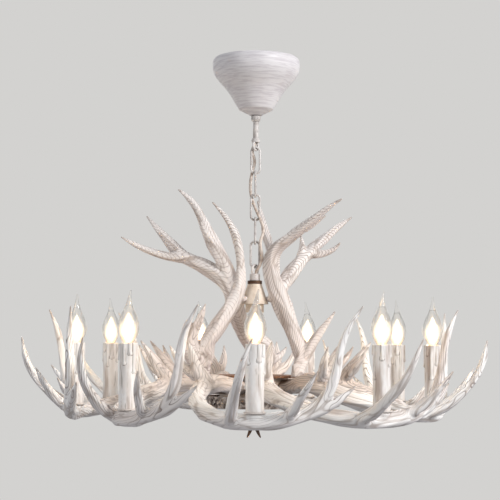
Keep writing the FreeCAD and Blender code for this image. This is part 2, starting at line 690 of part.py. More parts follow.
back_fork = [(-124.0, 51.0, 211.0, 9.8), (-157.0, 42.0, 214.0, 8.8), (-194.0, 35.0, 224.0, 6.8),
             (-222.0, 30.0, 236.0, 4.6), (-244.0, 26.0, 248.0, 1.3)]
back_blade = [(-44.0, 35.0, 158.0, 15.0), (-55.0, 33.0, 200.0, 13.6), (-75.0, 28.0, 235.0, 13.0),
              (-90.0, 22.0, 266.0, 11.8), (-101.0, 18.0, 290.0, 9.2), (-117.0, 14.0, 314.0, 6.0),
              (-140.0, 10.0, 334.0, 1.5)]
back_blade_spur = [(-80.0, 28.0, 240.0, 7.4), (-92.0, 33.0, 258.0, 6.0), (-100.0, 37.0, 283.0, 1.3)]

# Where each antler's stem passes the neck cap: (right, back).
stems_at_neck = {"left": (-34.0, -28.0), "right": (44.0, -14.0), "back": (-38.0, 40.0)}

# Each upper antler stands on the root of one lower antler, counted from the front one.
carriers = {"left": 8, "right": 2, "back": 5}


def foot_place(carrier):
    """Middle of an upper antler's foot on the root of the given lower antler."""
    foot = V(-foot_side, -foot_reach, 0)
    return FreeCAD.Rotation(UP, lamp_pitch * carrier).multVec(foot)


def above_hub(stations):
    """Limb whose heights are counted from the top of the hub plate."""
    return limb([(x, y, plate_top + rise, radius) for x, y, rise, radius in stations])


def neck_lug(stem_point):
    """Short lug from an antler's stem to the side of the neck cap."""
    angle = math.degrees(math.atan2(stem_point[0], -stem_point[1]))
    reach = math.hypot(stem_point[0], stem_point[1])
    start = polar(cap_top_radius, angle, neck_screw_level)
    return angle, Part.makeCylinder(neck_lug_radius, reach - cap_top_radius, start, polar(1.0, angle, 0))


def make_upper_antler(branches, foot, lug):
    """One upper antler: fused branches, a flat foot and a lug at the neck cap."""
    pieces = [above_hub(stations) for stations in branches]
    boss = rod_z(foot_radius, foot_level, foot_level + foot_stud_length, foot.x, foot.y)
    antler = pieces[0].fuse(pieces[1:] + [boss, lug[1]])
    antler = antler.cut(rod_z(3 * plate_radius, foot_level - 4 * foot_radius, foot_level))
    antler = antler.cut(cap_cone(loose_gap))
    return antler.cut(foot_stud(foot, bolt_gap)).cut(neck_screw_shape(lug[0], bolt_gap))


def foot_stud(foot, grow):
    """Threaded stud that joins an upper antler's foot to the lower antler under it."""
    low = foot_level - foot_stud_depth
    return rod_z(foot_stud_radius + grow, low - grow, low + foot_stud_length + grow, foot.x, foot.y)


def seat_upper_foot(antler, foot):
    """Flat spot and stud hole in a lower antler that carries an upper one."""
    space = rod_z(foot_clearance_radius, foot_level, foot_level + 3 * foot_radius, foot.x, foot.y)
    return antler.cut(space).cut(foot_stud(foot, bolt_gap))


# ---------------------------------------------------------------- candles
def make_candle_cup():
    """Disc under each candle with a spigot that centres the sleeve."""
    spigot_radius = sleeve_radius - sleeve_wall - loose_gap
    cup = revolved([
        (stem_radius + slip_gap, seat_level), (cup_radius - 2.0, seat_level),
        (cup_radius, seat_level + 1.2), (cup_radius, cup_top), (spigot_radius, cup_top),
        (spigot_radius, cup_top + cup_spigot_height),
        (stem_radius + slip_gap, cup_top + cup_spigot_height)])
    cup.translate(V(0, -candle_ring_radius, 0))
    return cup


def make_candle_sleeve():
    """Candle tube with wax drips running down from its rim."""
    sleeve = tube_z(sleeve_radius, sleeve_radius - sleeve_wall, cup_top, sleeve_top)
    drips = [(20, 38), (62, 22), (95, 58), (140, 30), (188, 46), (226, 20), (262, 66), (310, 34)]
    for angle, length in drips:
        place = polar(sleeve_radius - 0.6, angle, 0)
        bottom = sleeve_top - length
        run = rod_z(drip_radius, bottom, sleeve_top - 1.5, place.x, place.y)
        drop = Part.makeSphere(drip_radius * 1.25, V(place.x, place.y, bottom))
        sleeve = sleeve.fuse([run, drop])
    sleeve = sleeve.cut(rod_z(sleeve_radius - sleeve_wall, cup_top - eps, sleeve_top + eps))
    sleeve.translate(V(0, -candle_ring_radius, 0))
    return sleeve


def make_lamp_socket():
    """Threaded stem in the antler's seat with the bulb holder on top."""
    stem = rod_z(stem_radius, seat_level - stem_in_seat + loose_gap, holder_bottom + 1.0)
    holder = rod_z(holder_radius, holder_bottom, holder_top)
    socket = stem.fuse(holder)
    socket = socket.cut(rod_z(holder_bore_radius, holder_top - holder_bore_depth, holder_top + eps))
    socket = socket.cut(rod_z(stem_bore_radius, seat_level - stem_in_seat - eps, holder_bottom + 4.0))
    socket.translate(V(0, -candle_ring_radius, 0))
    return socket


def make_bulb_base():
    """Screw shell of the bulb, ribbed like its thread."""
    turns = 6
    pitch = base_height * 0.6 / turns
    profile = [(2.0, base_bottom), (3.6, base_bottom), (base_radius - 0.9, base_bottom + 3.0)]
    for i in range(turns):
        low = base_bottom + 3.5 + i * pitch
        profile.append((base_radius - 0.7, low))
        profile.append((base_radius, low + pitch / 2.0))
    profile.append((base_radius - 0.7, base_bottom + 3.5 + turns * pitch))
    profile.append((base_radius - 0.7, base_top))
    profile.append((base_radius - 0.7 - base_wall, base_top))
    profile.append((base_radius - 0.7 - base_wall, base_bottom + 4.5))
    profile.append((2.0, base_bottom + 2.0))
    base = revolved(profile)
    plug = rod_z(2.0 + eps, base_bottom, base_bottom + 2.0)
    base = base.fuse(plug)
    base.translate(V(0, -candle_ring_radius, 0))
    return base


# Candle bulb outline from its neck upward: height over the base, radius, sideways bend of the tip.
bulb_outline = [(0.0, 6.6, 0.0), (5.0, 8.2, 0.0), (11.0, 12.0, 0.0), (19.0, 15.8, 0.0),
                (28.0, 17.5, 0.0), (38.0, 16.6, 0.0), (48.0, 13.2, 0.0), (57.0, 9.0, 0.2),
                (65.0, 5.8, 0.8), (73.0, 3.6, 1.8), (81.0, 2.2, 3.2), (89.0, 1.0, 4.8)]


def make_bulb_glass():
    """Thin blown envelope with a bent flame tip, open at its neck."""
    def shell(shrink, count):
        wires = []
        for height, radius, bend in bulb_outline[:count]:
            ring = Part.Circle(V(bend, -candle_ring_radius, base_top + height), UP, radius - shrink)
            wires.append(Part.Wire(ring.toShape()))
        return Part.makeLoft(wires, True, False)
    return shell(0.0, len(bulb_outline)).cut(shell(glass_wall, len(bulb_outline) - 4))


def make_filament():
    """Flared glass stem in the bulb's neck, and a zigzag glowing wire."""
    centre_y = -candle_ring_radius
    wire = filament_wire / 2.0
    post = rod_z(stem_post_radius, base_top, base_top + 10.0, 0, centre_y)
    flare = Part.makeCone(stem_flare_radius, stem_post_radius, 6.0, V(0, centre_y, base_top), UP)
    post = post.fuse(flare)
    zigzag = [(0.0, 8.0), (-4.5, 16.0), (-3.0, 34.0), (0.0, 18.0), (3.0, 34.0), (4.5, 16.0)]
    points = [V(side, centre_y, base_top + rise) for side, rise in zigzag]
    shape = post
    for first, second in zip(points, points[1:]):
        shape = shape.fuse(Part.makeCylinder(wire, (second - first).Length, first, second - first))
        shape = shape.fuse(Part.makeSphere(wire * 1.02, second))
    return shape


def make_lamp_lead():
    """Insulated lead from the hub terminal through the drum and the antler to the lamp."""
    return tube_along(lead_path(), lead_radius, "lamp_lead")


# ---------------------------------------------------------------- power cord
def cord_points():
    """Route of the power cord: terminal block, drop rod, woven down the chain, neck cap, column."""
    contact = [first_contact - i * link_step for i in range(link_count + 1)]
    block_top = bracket_floor_top + terminal_height
    arch = rod_top + 14.0
    points = [V(terminal_reach, 0, block_top), V(terminal_reach, 0, arch - 3.0),
              V(terminal_reach / 2.0, 0, arch), V(0, 0, arch - 4.0)]
    points.append(V(0, 0, loop_hub_bottom - 1.0))
    points += [
        V(-5.0, 5.0, loop_centre - 3.0),
        V(-7.0, 7.5, contact[0] - 2.0),
        V(0.0, 8.5, contact[0] - 20.0),
        V(-7.0, 7.5, contact[1]),
        V(-10.0, 2.0, contact[1] - 22.0),
        V(-7.5, 7.5, contact[2]),
        V(0.0, 0.0, contact[2] - 21.0),
        V(9.0, -7.5, contact[3] + 2.0),
        V(17.0, -3.0, contact[3] - 18.0),
        V(7.5, -8.0, contact[4] + 1.0),
        V(14.5, -7.5, contact[4] - 24.0),
        V(6.5, -7.5, cap_ring_centre + 2.0),
        V(0, 0, cap_collar_top + 5.0),
        V(0, 0, lead_level + 8.0)]
    return points


def make_power_cord():
    return tube_along(rounded_path(cord_points(), "power_cord"), cord_radius, "power_cord")


# ---------------------------------------------------------------- build
def round_the_ring(shape):
    """Nine copies of a shape, one for each lamp, counted to the right from the front."""
    return [turned(shape, lamp_pitch * i) for i in range(lamp_count)]


def build():
    parts = {}
    parts["ceiling_bracket"] = make_ceiling_bracket()
    parts["terminal_block"] = make_terminal_block()
    parts["rod_nuts"] = make_rod_nuts()
    parts["canopy"] = make_canopy()
    parts["canopy_collar"] = make_canopy_collar()
    parts["drop_rod"] = make_drop_rod()
    parts["rod_loop"] = make_rod_loop()
    for i in range(link_count):
        bottom = first_link_bottom - i * link_step
        parts["chain_link_%d" % (i + 1)] = make_chain_link(bottom, 90.0 * (i % 2))
    parts["cap_loop"] = make_cap_loop()
    parts["cap_washer"] = make_cap_washer()

    lugs = {name: neck_lug(stem) for name, stem in stems_at_neck.items()}
    feet = {name: foot_place(carrier) for name, carrier in carriers.items()}
    limbs = {
        "left": [left_trunk, left_stem, left_palm, left_web],
        "right": [right_trunk, right_stem, right_spur, right_back_beam, right_back_fork, right_back_spur,
                  right_chain_tine],
        "back": [back_trunk, back_stem, back_fork, back_blade, back_blade_spur, back_palm]}
    parts["neck_cap"] = make_neck_cap([lugs[k][0] for k in lugs])
    parts["center_column"] = make_center_column()
    parts["hub_plate"] = make_hub_plate()
    parts["hub_drum"] = make_hub_drum()
    parts["hub_cover"] = make_hub_cover()
    parts["hub_terminal"] = make_hub_terminal()
    parts["finial"] = make_finial()

    bolt = screw(polar(drum_apothem - drum_wall, root_angle, bolt_level), polar(1.0, root_angle, 0),
                 root_bolt_radius, root_bolt_length - eps, root_bolt_head_radius, root_bolt_head_height)
    parts["root_bolts"] = Part.makeCompound(round_the_ring(bolt))
    neck_screws = [screw(polar(neck_screw_start, lug[0], neck_screw_level), polar(1.0, lug[0], 0),
                         neck_screw_radius, neck_screw_length - eps, neck_screw_head_radius,
                         neck_screw_head_height) for lug in lugs.values()]
    parts["neck_screws"] = Part.makeCompound(neck_screws)
    parts["foot_studs"] = Part.makeCompound([foot_stud(foot, 0.0) for foot in feet.values()])

    for name in limbs:
        parts["upper_antler_" + name] = make_upper_antler(limbs[name], feet[name], lugs[name])
    lower = round_the_ring(make_lower_antler())
    for name, carrier in carriers.items():
        lower[carrier] = seat_upper_foot(lower[carrier], feet[name])
    for i, shape in enumerate(lower):
        parts["lower_antler_%d" % (i + 1)] = shape
    for i, shape in enumerate(round_the_ring(make_candle_sleeve())):
        parts["candle_sleeve_%d" % (i + 1)] = shape
    for i, shape in enumerate(round_the_ring(make_bulb_glass())):
        parts["bulb_glass_%d" % (i + 1)] = shape
    parts["candle_cups"] = Part.makeCompound(round_the_ring(make_candle_cup()))
    parts["lamp_sockets"] = Part.makeCompound(round_the_ring(make_lamp_socket()))
    parts["bulb_bases"] = Part.makeCompound(round_the_ring(make_bulb_base()))
    parts["filaments"] = Part.makeCompound(round_the_ring(make_filament()))
    parts["lamp_leads"] = Part.makeCompound(round_the_ring(make_lamp_lead()))
    parts["power_cord"] = make_power_cord()
    return parts


os.makedirs("parts", exist_ok=True)
for node, shape in build().items():
    solids = shape.Solids
    valid = all(s.isValid() for s in solids)
    volume = sum(s.Volume for s in solids) / 1000.0
    print(node, "solids", len(solids), "valid", valid, "volume cm3", round(volume, 2))
    shape.exportStep("parts/" + node + ".step")
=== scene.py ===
"""Antler chandelier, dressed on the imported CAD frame.

Metres, +Z up, origin on the ceiling plane at the middle of the ceiling bracket. Shapes are written in
millimetres and scaled once. The photographed front faces -Y.
"""
import json
import math

import bpy
import numpy as np
from mathutils import Matrix, Vector


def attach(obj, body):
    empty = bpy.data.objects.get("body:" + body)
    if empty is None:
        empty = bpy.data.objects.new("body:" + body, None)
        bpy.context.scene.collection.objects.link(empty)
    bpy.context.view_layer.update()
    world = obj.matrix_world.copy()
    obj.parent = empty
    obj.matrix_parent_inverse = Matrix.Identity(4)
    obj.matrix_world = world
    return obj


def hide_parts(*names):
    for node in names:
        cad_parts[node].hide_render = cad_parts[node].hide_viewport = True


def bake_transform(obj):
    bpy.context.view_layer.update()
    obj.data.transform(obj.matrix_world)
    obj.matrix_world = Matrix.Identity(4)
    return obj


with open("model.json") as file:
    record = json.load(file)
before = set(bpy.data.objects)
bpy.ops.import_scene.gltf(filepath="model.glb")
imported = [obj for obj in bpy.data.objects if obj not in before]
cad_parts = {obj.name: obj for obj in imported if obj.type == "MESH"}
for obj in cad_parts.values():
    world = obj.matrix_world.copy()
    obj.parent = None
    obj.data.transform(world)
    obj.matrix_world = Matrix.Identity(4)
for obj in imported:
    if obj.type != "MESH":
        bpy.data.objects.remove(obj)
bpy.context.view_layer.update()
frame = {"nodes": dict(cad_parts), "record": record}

MM = 0.001

# ---------------------------------------------------------------- sizes, in millimetres
# Those shared with the CAD. Levels are heights over the ceiling plane, so below it they are negative.
lamp_count = 9
lamp_pitch = math.radians(360.0 / lamp_count)
candle_ring_radius = 316.0
seat_level = -623.0
seat_radius = 15.0
cup_top = -620.0
sleeve_top = -515.0
sleeve_radius = 14.5
sleeve_wall = 1.5
plate_top = -571.0
foot_level = -573.0
foot_radius = 10.0
foot_side = 44.6
foot_reach = 82.8
lug_level = -435.5
lug_radius = 5.5
lug_start = 20.0
drum_apothem = 58.0
root_angle = math.radians(-22.0)
root_level = -591.0
root_radius = 13.0
base_top = -519.8
cord_radius = 2.7
link_count = 5
link_step = 42.6
first_contact = -165.8
contact = [first_contact - link_step * i for i in range(link_count + 1)]
canopy_radius = 79.0
canopy_floor_radius = 31.0
canopy_height = 103.0
canopy_floor_fall = 11.0
canopy_flat_radius = 10.5
canopy_hole_radius = 5.4
canopy_wall = 1.5

# Those of the antlers' skins: the mesh's spacing and the thinnest limb that this spacing can hold; how big
# each kind of carving is across and along a limb, and how far it goes in or out; how far the grain shifts
# from one lower antler to the next; how far round a seat, a root's end and a foot the skin is trimmed.
skin_voxel = 1.6
thinnest = 2.3
gutter_size = (6.5, 6.5, 60.0)
gutter_depth = 0.6
ripple_size = (4.0, 4.0, 26.0)
ripple_height = 0.22
lump_size = (16.0, 16.0, 34.0)
lump_height = 0.4
flat_share = 0.5
grain_shift = np.array((37.0, 11.0, 53.0))
seat_margin = 4.0
root_end_reach = 90.0
foot_end_reach = 40.0

# Those of the candles, bulbs and canopy: the bare tube stays a little inside the CAD's radius.
sleeve_inset = 0.3
sleeve_bore_depth = 50.0
flame_height = 24.0
bulb_thickness = 0.8
bulb_sides = 40
glow_sides = 24
canopy_sides = 144


def put_in_scene(name, data):
    """New object that holds a mesh, light, curve or camera."""
    made = bpy.data.objects.new(name, data)
    bpy.context.scene.collection.objects.link(made)
    return made


# ---------------------------------------------------------------- camera
camera_place = (-0.009, -2.31, -0.514)
camera_pitch = math.radians(4.13)
camera_roll = math.radians(0.4)
camera_lens = 92.7


def make_camera():
    """Camera in front of the light, level with the candles' rims and tilted up a little."""
    data = bpy.data.cameras.new("camera")
    data.lens = camera_lens
    data.sensor_width = 36.0
    data.clip_end = 100.0
    camera = put_in_scene("camera", data)
    turn = Matrix.Rotation(math.pi / 2 + camera_pitch, 4, "X") @ Matrix.Rotation(camera_roll, 4, "Z")
    camera.matrix_world = Matrix.Translation(camera_place) @ turn
    bpy.context.scene.camera = camera


# ---------------------------------------------------------------- mesh helpers
def link(name, data, body):
    """New object that rides on a body, if one is given."""
    made = put_in_scene(name, data)
    if body:
        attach(made, body)
    return made


def mesh_from(name, points, faces, material=None):
    """Smooth mesh from points in millimetres, with its finish if one is given."""
    data = bpy.data.meshes.new(name)
    data.from_pydata((np.asarray(points, float) * MM).tolist(), [], faces)
    data.validate()
    data.shade_smooth()
    if material:
        data.materials.append(material)
    return data


def store(data, label, values):
    """Keeps one number for each point of a mesh, for its finish to read."""
    data.attributes.new(label, "FLOAT", "POINT").data.foreach_set("value", values.astype(np.float32))


def grid_faces(rings, sides, first=0):
    """Quads between rings that each close on themselves."""
    faces = []
    for ring in range(rings - 1):
        low = first + ring * sides
        for side in range(sides):
            after = (side + 1) % sides
            faces.append((low + side, low + after, low + sides + after, low + sides + side))
    return faces


def spline_through(stations, step=2.0):
    """Points and radii every step millimetres on a smooth curve through (x, y, z, radius) stations."""
    data = np.array(stations, float)
    points = data[:, :3]
    gaps = np.linalg.norm(np.diff(points, axis=0), axis=1)
    knots = np.concatenate([[0.0], np.cumsum(gaps)])
    count = len(knots)
    matrix = np.eye(count)
    for i in range(1, count - 1):
        matrix[i, i - 1:i + 2] = gaps[i - 1], 2.0 * (gaps[i - 1] + gaps[i]), gaps[i]
    slopes = np.diff(points, axis=0) / gaps[:, None]
    right = np.zeros((count, 3))
    right[1:-1] = 6.0 * np.diff(slopes, axis=0)
    bend = np.linalg.solve(matrix, right)
    at = np.linspace(0.0, knots[-1], max(8, int(knots[-1] / step)))
    i = np.clip(np.searchsorted(knots, at, side="right") - 1, 0, count - 2)
    gap = gaps[i][:, None]
    low = (knots[i + 1] - at)[:, None] / gap
    high = 1.0 - low
    curve = low * points[i] + high * points[i + 1]
    curve += ((low ** 3 - low) * bend[i] + (high ** 3 - high) * bend[i + 1]) * gap * gap / 6.0
    radii = low[:, 0] * data[i, 3] + high[:, 0] * data[i + 1, 3]
    return curve, radii


def frames_along(curve):
    """Tangent and two steady side directions at each point of a curve."""
    tangent = np.gradient(curve, axis=0)
    tangent /= np.linalg.norm(tangent, axis=1)[:, None]
    side = np.cross(tangent[0], (0.0, 0.0, 1.0))
    if np.linalg.norm(side) < 0.1:
        side = np.array((1.0, 0.0, 0.0))
    sides = []
    for along in tangent:
        side = side - along * side.dot(along)
        side = side / np.linalg.norm(side)
        sides.append(side)
    sides = np.array(sides)
    return tangent, sides, np.cross(tangent, sides)


def tube(curve, radii, sides=20, oval=0.0):
    """Closed tube: points and faces. Its section turns slowly and is a little oval."""
    _, first, second = frames_along(curve)
    turn = np.linspace(0.0, 2.0 * math.pi, sides, endpoint=False)
    along = np.linspace(0.0, 1.0, len(curve))[:, None]
    radius = radii[:, None] * (1.0 + oval * np.cos(2.0 * (turn[None, :] - 5.0 * along)))
    points = curve[:, None, :] + radius[..., None] * (
        np.cos(turn)[None, :, None] * first[:, None, :] + np.sin(turn)[None, :, None] * second[:, None, :])
    count = len(curve) * sides
    points = np.concatenate([points.reshape(-1, 3), curve[:1], curve[-1:]])
    faces = grid_faces(len(curve), sides)
    for side in range(sides):
        after = (side + 1) % sides
        faces.append((after, side, count))
        faces.append((count - sides + side, count - sides + after, count + 1))
    return points, faces


def lattice_noise(points, seed):
    """Smooth noise from -1 to 1 at many points at once."""
    cell = np.floor(points).astype(np.int64)
    part = points - cell
    fade = part * part * (3.0 - 2.0 * part)
    total = np.zeros(len(points))
    for corner in np.ndindex(2, 2, 2):
        place = cell + corner
        mixed = (place * (73856093, 19349663, 83492791)).sum(axis=1) + seed * 26544357
        mixed = (mixed ^ (mixed >> 13)) * 1274126177
        value = ((mixed ^ (mixed >> 16)) & 0xFFFF) / 32767.5 - 1.0
        total += value * np.prod(np.where(corner, fade, 1.0 - fade), axis=1)
    return total


def lathe(profile, sides):
    """Surface turned about the upright axis from an open profile of (radius, height) pairs."""
    turn = np.linspace(0.0, 2.0 * math.pi, sides, endpoint=False)
    points = []
    for radius, height in profile:
        ring = np.stack([radius * np.cos(turn), radius * np.sin(turn), np.full(sides, height)], axis=1)
        points.append(ring)
    return np.concatenate(points), grid_faces(len(profile), sides)


# ---------------------------------------------------------------- material helpers
def paint(*screen):
    """Linear colour from the three 0-255 values that a screen shows."""
    shares = [value / 255.0 for value in screen]
    linear = [s / 12.92 if s <= 0.04045 else ((s + 0.055) / 1.055) ** 2.4 for s in shares]
    return (*linear, 1.0)


class Nodes:
    """Short ways to add shader nodes to a tree."""

    def __init__(self, tree):
        self.tree = tree

    def add(self, kind, inputs, **settings):
        """New shader node with its inputs fed and its settings set."""
        made = self.tree.nodes.new("ShaderNode" + kind)
        for key, value in settings.items():
            setattr(made, key, value)
        for key, value in inputs.items():
            self.feed(made.inputs[key], value)
        return made

    def feed(self, socket, value):
        """Links another node's output to a socket, or sets its plain value."""
        if isinstance(value, bpy.types.NodeSocket):
            self.tree.links.new(value, socket)
        else:
            socket.default_value = value

    def math(self, operation, first, second=0.0, clamp=False):
        """Result of one operation on two values."""
        return self.add("Math", {0: first, 1: second}, operation=operation, use_clamp=clamp).outputs[0]


class Finish(Nodes):
    """A material with its principled shader, and short ways to add what its surface needs."""

    def __init__(self, name, **sockets):
        self.material = bpy.data.materials.new(name)
        self.material.use_nodes = True
        super().__init__(self.material.node_tree)
        self.shader = self.tree.nodes["Principled BSDF"]
        for socket, value in sockets.items():
            self.shader.inputs[socket.replace("_", " ")].default_value = value

    def place(self, stretch=(1.0, 1.0, 1.0), attribute=None):
        """Surface coordinates, stretched: of the object, or along an antler's limbs."""
        if attribute:
            source = self.add("Attribute", {}, attribute_name=attribute).outputs["Vector"]
        else:
            source = self.add("TexCoord", {}).outputs["Object"]
        return self.add("Mapping", {"Vector": source, "Scale": stretch}).outputs["Vector"]

    def stored(self, label):
        """Number that store() kept for each point of the mesh."""
        return self.add("Attribute", {}, attribute_name=label).outputs["Fac"]

    def noise(self, where, scale, detail, distortion=0.0):
        """Cloudy noise from 0 to 1; its scale counts clouds in a metre."""
        return self.add("TexNoise", {"Vector": where, "Scale": scale, "Detail": detail,
                                     "Distortion": distortion, "Roughness": 0.55}).outputs["Fac"]

    def ramp(self, value, low, high, bottom=0.0, top=1.0):
        """Value mapped smoothly from low..high to bottom..top."""
        return self.add("MapRange", {"Value": value, "From Min": low, "From Max": high, "To Min": bottom,
                                     "To Max": top}, interpolation_type="SMOOTHSTEP").outputs["Result"]

    def mix(self, share, first, second):
        """First colour with a share of the second over it."""
        return self.add("Mix", {0: share, 6: first, 7: second}, data_type="RGBA").outputs[2]

    def bump(self, height, strength, distance, under=None):
        """Normals that follow a height, on top of an earlier bump's normals if there are any."""
        inputs = {"Height": height, "Strength": strength, "Distance": distance}
        if under:
            inputs["Normal"] = under
        return self.add("Bump", inputs).outputs["Normal"]

    def painted_crevice_shade(self, distance, strongest):
        """Painted shade where surfaces meet within a distance in millimetres: ambient occlusion darkens the
        colour there.
        """
        made = self.add("AmbientOcclusion", {"Distance": distance * MM}, samples=8)
        return self.ramp(made.outputs["AO"], 0.75, 0.15, 0.0, strongest)

    def finish(self, colour, normal=None, roughness=None):
        """Feeds the shader and returns the material."""
        self.feed(self.shader.inputs["Base Color"], colour)
        if normal:
            self.feed(self.shader.inputs["Normal"], normal)
        if roughness:
            self.feed(self.shader.inputs["Roughness"], roughness)
        return self.material


# ---------------------------------------------------------------- materials
def antler_finish(name, bare, wash, shade, line, slant, waver, faintest, painted_warm_glow):
    """Whitewashed cast antler: pale wash, and dark ring lines like those of carved wood.

    The ring lines cross a limb at a slant. The first two numbers of slant are how many lines cross a
    metre of its girth, the third how many cross a metre of its length. Undersides get painted shade in
    the shade colour, and towards the middle of the light a share, the last argument, of painted warm light
    from the bulbs shows as a tan colour.
    """
    made = Finish(name, Roughness=0.55)
    grain = made.place(attribute="grain")
    along = made.place((1.0, 1.0, 0.16), "grain")
    fibre = made.place((1.0, 1.0, 0.06), "grain")
    hollow = made.stored("hollow")
    under = made.stored("under")

    across = made.add("VectorMath", {0: grain, 1: slant}, operation="DOT_PRODUCT")
    warp = made.noise(made.place((1.0, 1.0, 0.6), "grain"), 20.0, 2.0, 0.6)
    warp = made.math("MULTIPLY", warp, waver)
    rings = made.math("FRACT", made.math("ADD", across.outputs["Value"], warp))
    edge = made.math("MULTIPLY", made.ramp(rings, 0.62, 0.9), made.ramp(rings, 0.92, 1.0, 1.0, 0.0))
    strength = made.ramp(made.noise(along, 30.0, 3.0), 0.4, 0.62, faintest, 1.0)
    lines = made.math("MULTIPLY", edge, strength)
    streak = made.noise(fibre, 300.0, 3.0)

    tone = made.ramp(made.noise(along, 14.0, 3.0), 0.42, 0.64)
    colour = made.mix(tone, wash, bare)
    # Painted warm light from the bulbs: the colour turns warm tan towards the middle of the lamp, by
    # distance from its axis.
    flat = made.add("VectorMath", {0: made.place((1.0, 1.0, 0.0))}, operation="LENGTH").outputs["Value"]
    colour = made.mix(made.ramp(flat, 0.26, 0.1, 0.0, painted_warm_glow), colour, paint(206, 184, 166))
    colour = made.mix(made.ramp(streak, 0.52, 0.74, 0.0, 0.3), colour, shade)
    # Painted shade: undersides are darkened towards the shade colour by how much they face down.
    colour = made.mix(made.ramp(under, 0.15, 0.8, 0.0, 0.75), colour, shade)
    colour = made.mix(made.math("MULTIPLY", lines, 0.85), colour, line)
    colour = made.mix(made.ramp(hollow, 0.3, 1.0, 0.0, 0.55), colour, paint(148, 130, 118))
    # Painted shade where limbs, cap and candles meet: ambient occlusion darkens the colour brown.
    colour = made.mix(made.painted_crevice_shade(14.0, 0.6), colour, paint(120, 92, 72))

    normal = made.bump(made.math("SUBTRACT", 1.0, lines), 0.6, 0.0008)
    normal = made.bump(streak, 0.18, 0.0005, normal)
    return made.finish(colour, normal, made.ramp(tone, 0.0, 1.0, 0.45, 0.6))


def whitewash_finish():
    """Painted metal brushed with whitewash: fine streaks, darker paint showing in between."""
    made = Finish("whitewash", Roughness=0.5)
    streak = made.noise(made.place((0.25, 0.25, 3.0)), 130.0, 4.0, 0.3)
    cloud = made.noise(made.place(), 22.0, 3.0)
    colour = made.mix(made.ramp(streak, 0.42, 0.66), paint(220, 217, 219), paint(200, 195, 199))
    colour = made.mix(made.ramp(cloud, 0.45, 0.75, 0.0, 0.5), colour, paint(206, 201, 203))
    normal = made.bump(streak, 0.35, 0.0006)
    return made.finish(colour, normal, made.ramp(streak, 0.3, 0.7, 0.42, 0.6))


def aged_enamel(name, light, worn, dirt_and_shade):
    """Cream paint on metal with worn edges, dirt flecks, and painted shade in its hollows where parts meet.
    """
    made = Finish(name, Roughness=0.45)
    even = made.place()
    cloud = made.noise(even, 60.0, 4.0, 0.4)
    fleck = made.noise(even, 380.0, 2.0)
    colour = made.mix(made.ramp(cloud, 0.4, 0.7), light, worn)
    colour = made.mix(made.ramp(fleck, 0.62, 0.74, 0.0, 0.7), colour, dirt_and_shade)
    # Painted shade in crevices and where parts meet, in the dirt colour.
    colour = made.mix(made.painted_crevice_shade(6.0, 0.95), colour, dirt_and_shade)
    return made.finish(colour, made.bump(cloud, 0.3, 0.0006), made.ramp(fleck, 0.5, 0.8, 0.4, 0.7))


def rusty_metal(name, base, rust, pale):
    """Brown patinated steel with whitewash left in patches."""
    made = Finish(name, Roughness=0.6, Metallic=0.35)
    even = made.place()
    patch = made.noise(even, 70.0, 5.0, 0.6)
    grit = made.noise(even, 700.0, 2.0)
    colour = made.mix(made.ramp(patch, 0.38, 0.62), base, rust)
    colour = made.mix(made.ramp(made.noise(even, 130.0, 4.0), 0.55, 0.68, 0.0, 0.8), colour, pale)
    return made.finish(colour, made.bump(grit, 0.3, 0.0004), made.ramp(patch, 0.3, 0.7, 0.5, 0.75))


def bare_metal(name, base, dark, roughness):
    """Zinc or brass with fine turning marks and dull spots."""
    made = Finish(name, Roughness=roughness, Metallic=1.0)
    turned = made.noise(made.place((1.0, 1.0, 9.0)), 180.0, 2.0)
    dull = made.noise(made.place(), 90.0, 3.0)
    colour = made.mix(made.ramp(dull, 0.4, 0.7), base, dark)
    return made.finish(colour, made.bump(turned, 0.15, 0.0003), made.ramp(dull, 0.3, 0.7, roughness, 0.5))


def moulded_plastic(name, base, dark, roughness=0.4):
    """Plastic with a fine grain and a faint cloud of a darker tone."""
    made = Finish(name, Roughness=roughness)
    even = made.place()
    grain = made.noise(even, 900.0, 2.0)
    cloud = made.noise(even, 40.0, 2.0)
    colour = made.mix(made.ramp(cloud, 0.35, 0.7), base, dark)
    return made.finish(colour, made.bump(grain, 0.12, 0.0002), made.ramp(grain, 0.3, 0.7, roughness, 0.5))


def candle_finish():
    """Pale wax-coated tube with dark run marks down its length."""
    made = Finish("candle", Roughness=0.5)
    runs = made.noise(made.place((1.0, 1.0, 0.09)), 210.0, 3.0, 0.5)
    soft = made.noise(made.place((1.0, 1.0, 0.35)), 70.0, 3.0)
    hollow = made.stored("hollow")
    stain = made.stored("stain")
    broad = made.math("ADD", made.noise(made.place((1.0, 1.0, 0.12)), 75.0, 2.0), stain)
    colour = made.mix(made.ramp(soft, 0.35, 0.65), paint(240, 238, 236), paint(224, 218, 213))
    colour = made.mix(made.ramp(broad, 0.56, 0.8, 0.0, 0.75), colour, paint(168, 148, 136))
    colour = made.mix(made.ramp(runs, 0.62, 0.7, 0.0, 0.5), colour, paint(110, 92, 80))
    colour = made.mix(made.ramp(hollow, 0.2, 1.0, 0.0, 0.75), colour, paint(112, 92, 80))
    # Painted shade where the sleeve meets its cup and seat.
    colour = made.mix(made.painted_crevice_shade(9.0, 0.6), colour, paint(112, 88, 70))
    return made.finish(colour, made.bump(runs, 0.3, 0.0005), made.ramp(soft, 0.3, 0.7, 0.28, 0.42))


def glass_finish():
    """Thin clear glass."""
    made = Finish("bulb_glass", Roughness=0.0, Transmission_Weight=1.0, IOR=1.35, Alpha=0.7)
    ripple = made.noise(made.place((1.0, 1.0, 0.4)), 60.0, 1.0)
    colour = made.mix(made.ramp(ripple, 0.3, 0.7), (1.0, 0.99, 0.97, 1.0), (0.96, 0.95, 0.93, 1.0))
    return made.finish(colour, made.bump(ripple, 0.05, 0.0004))


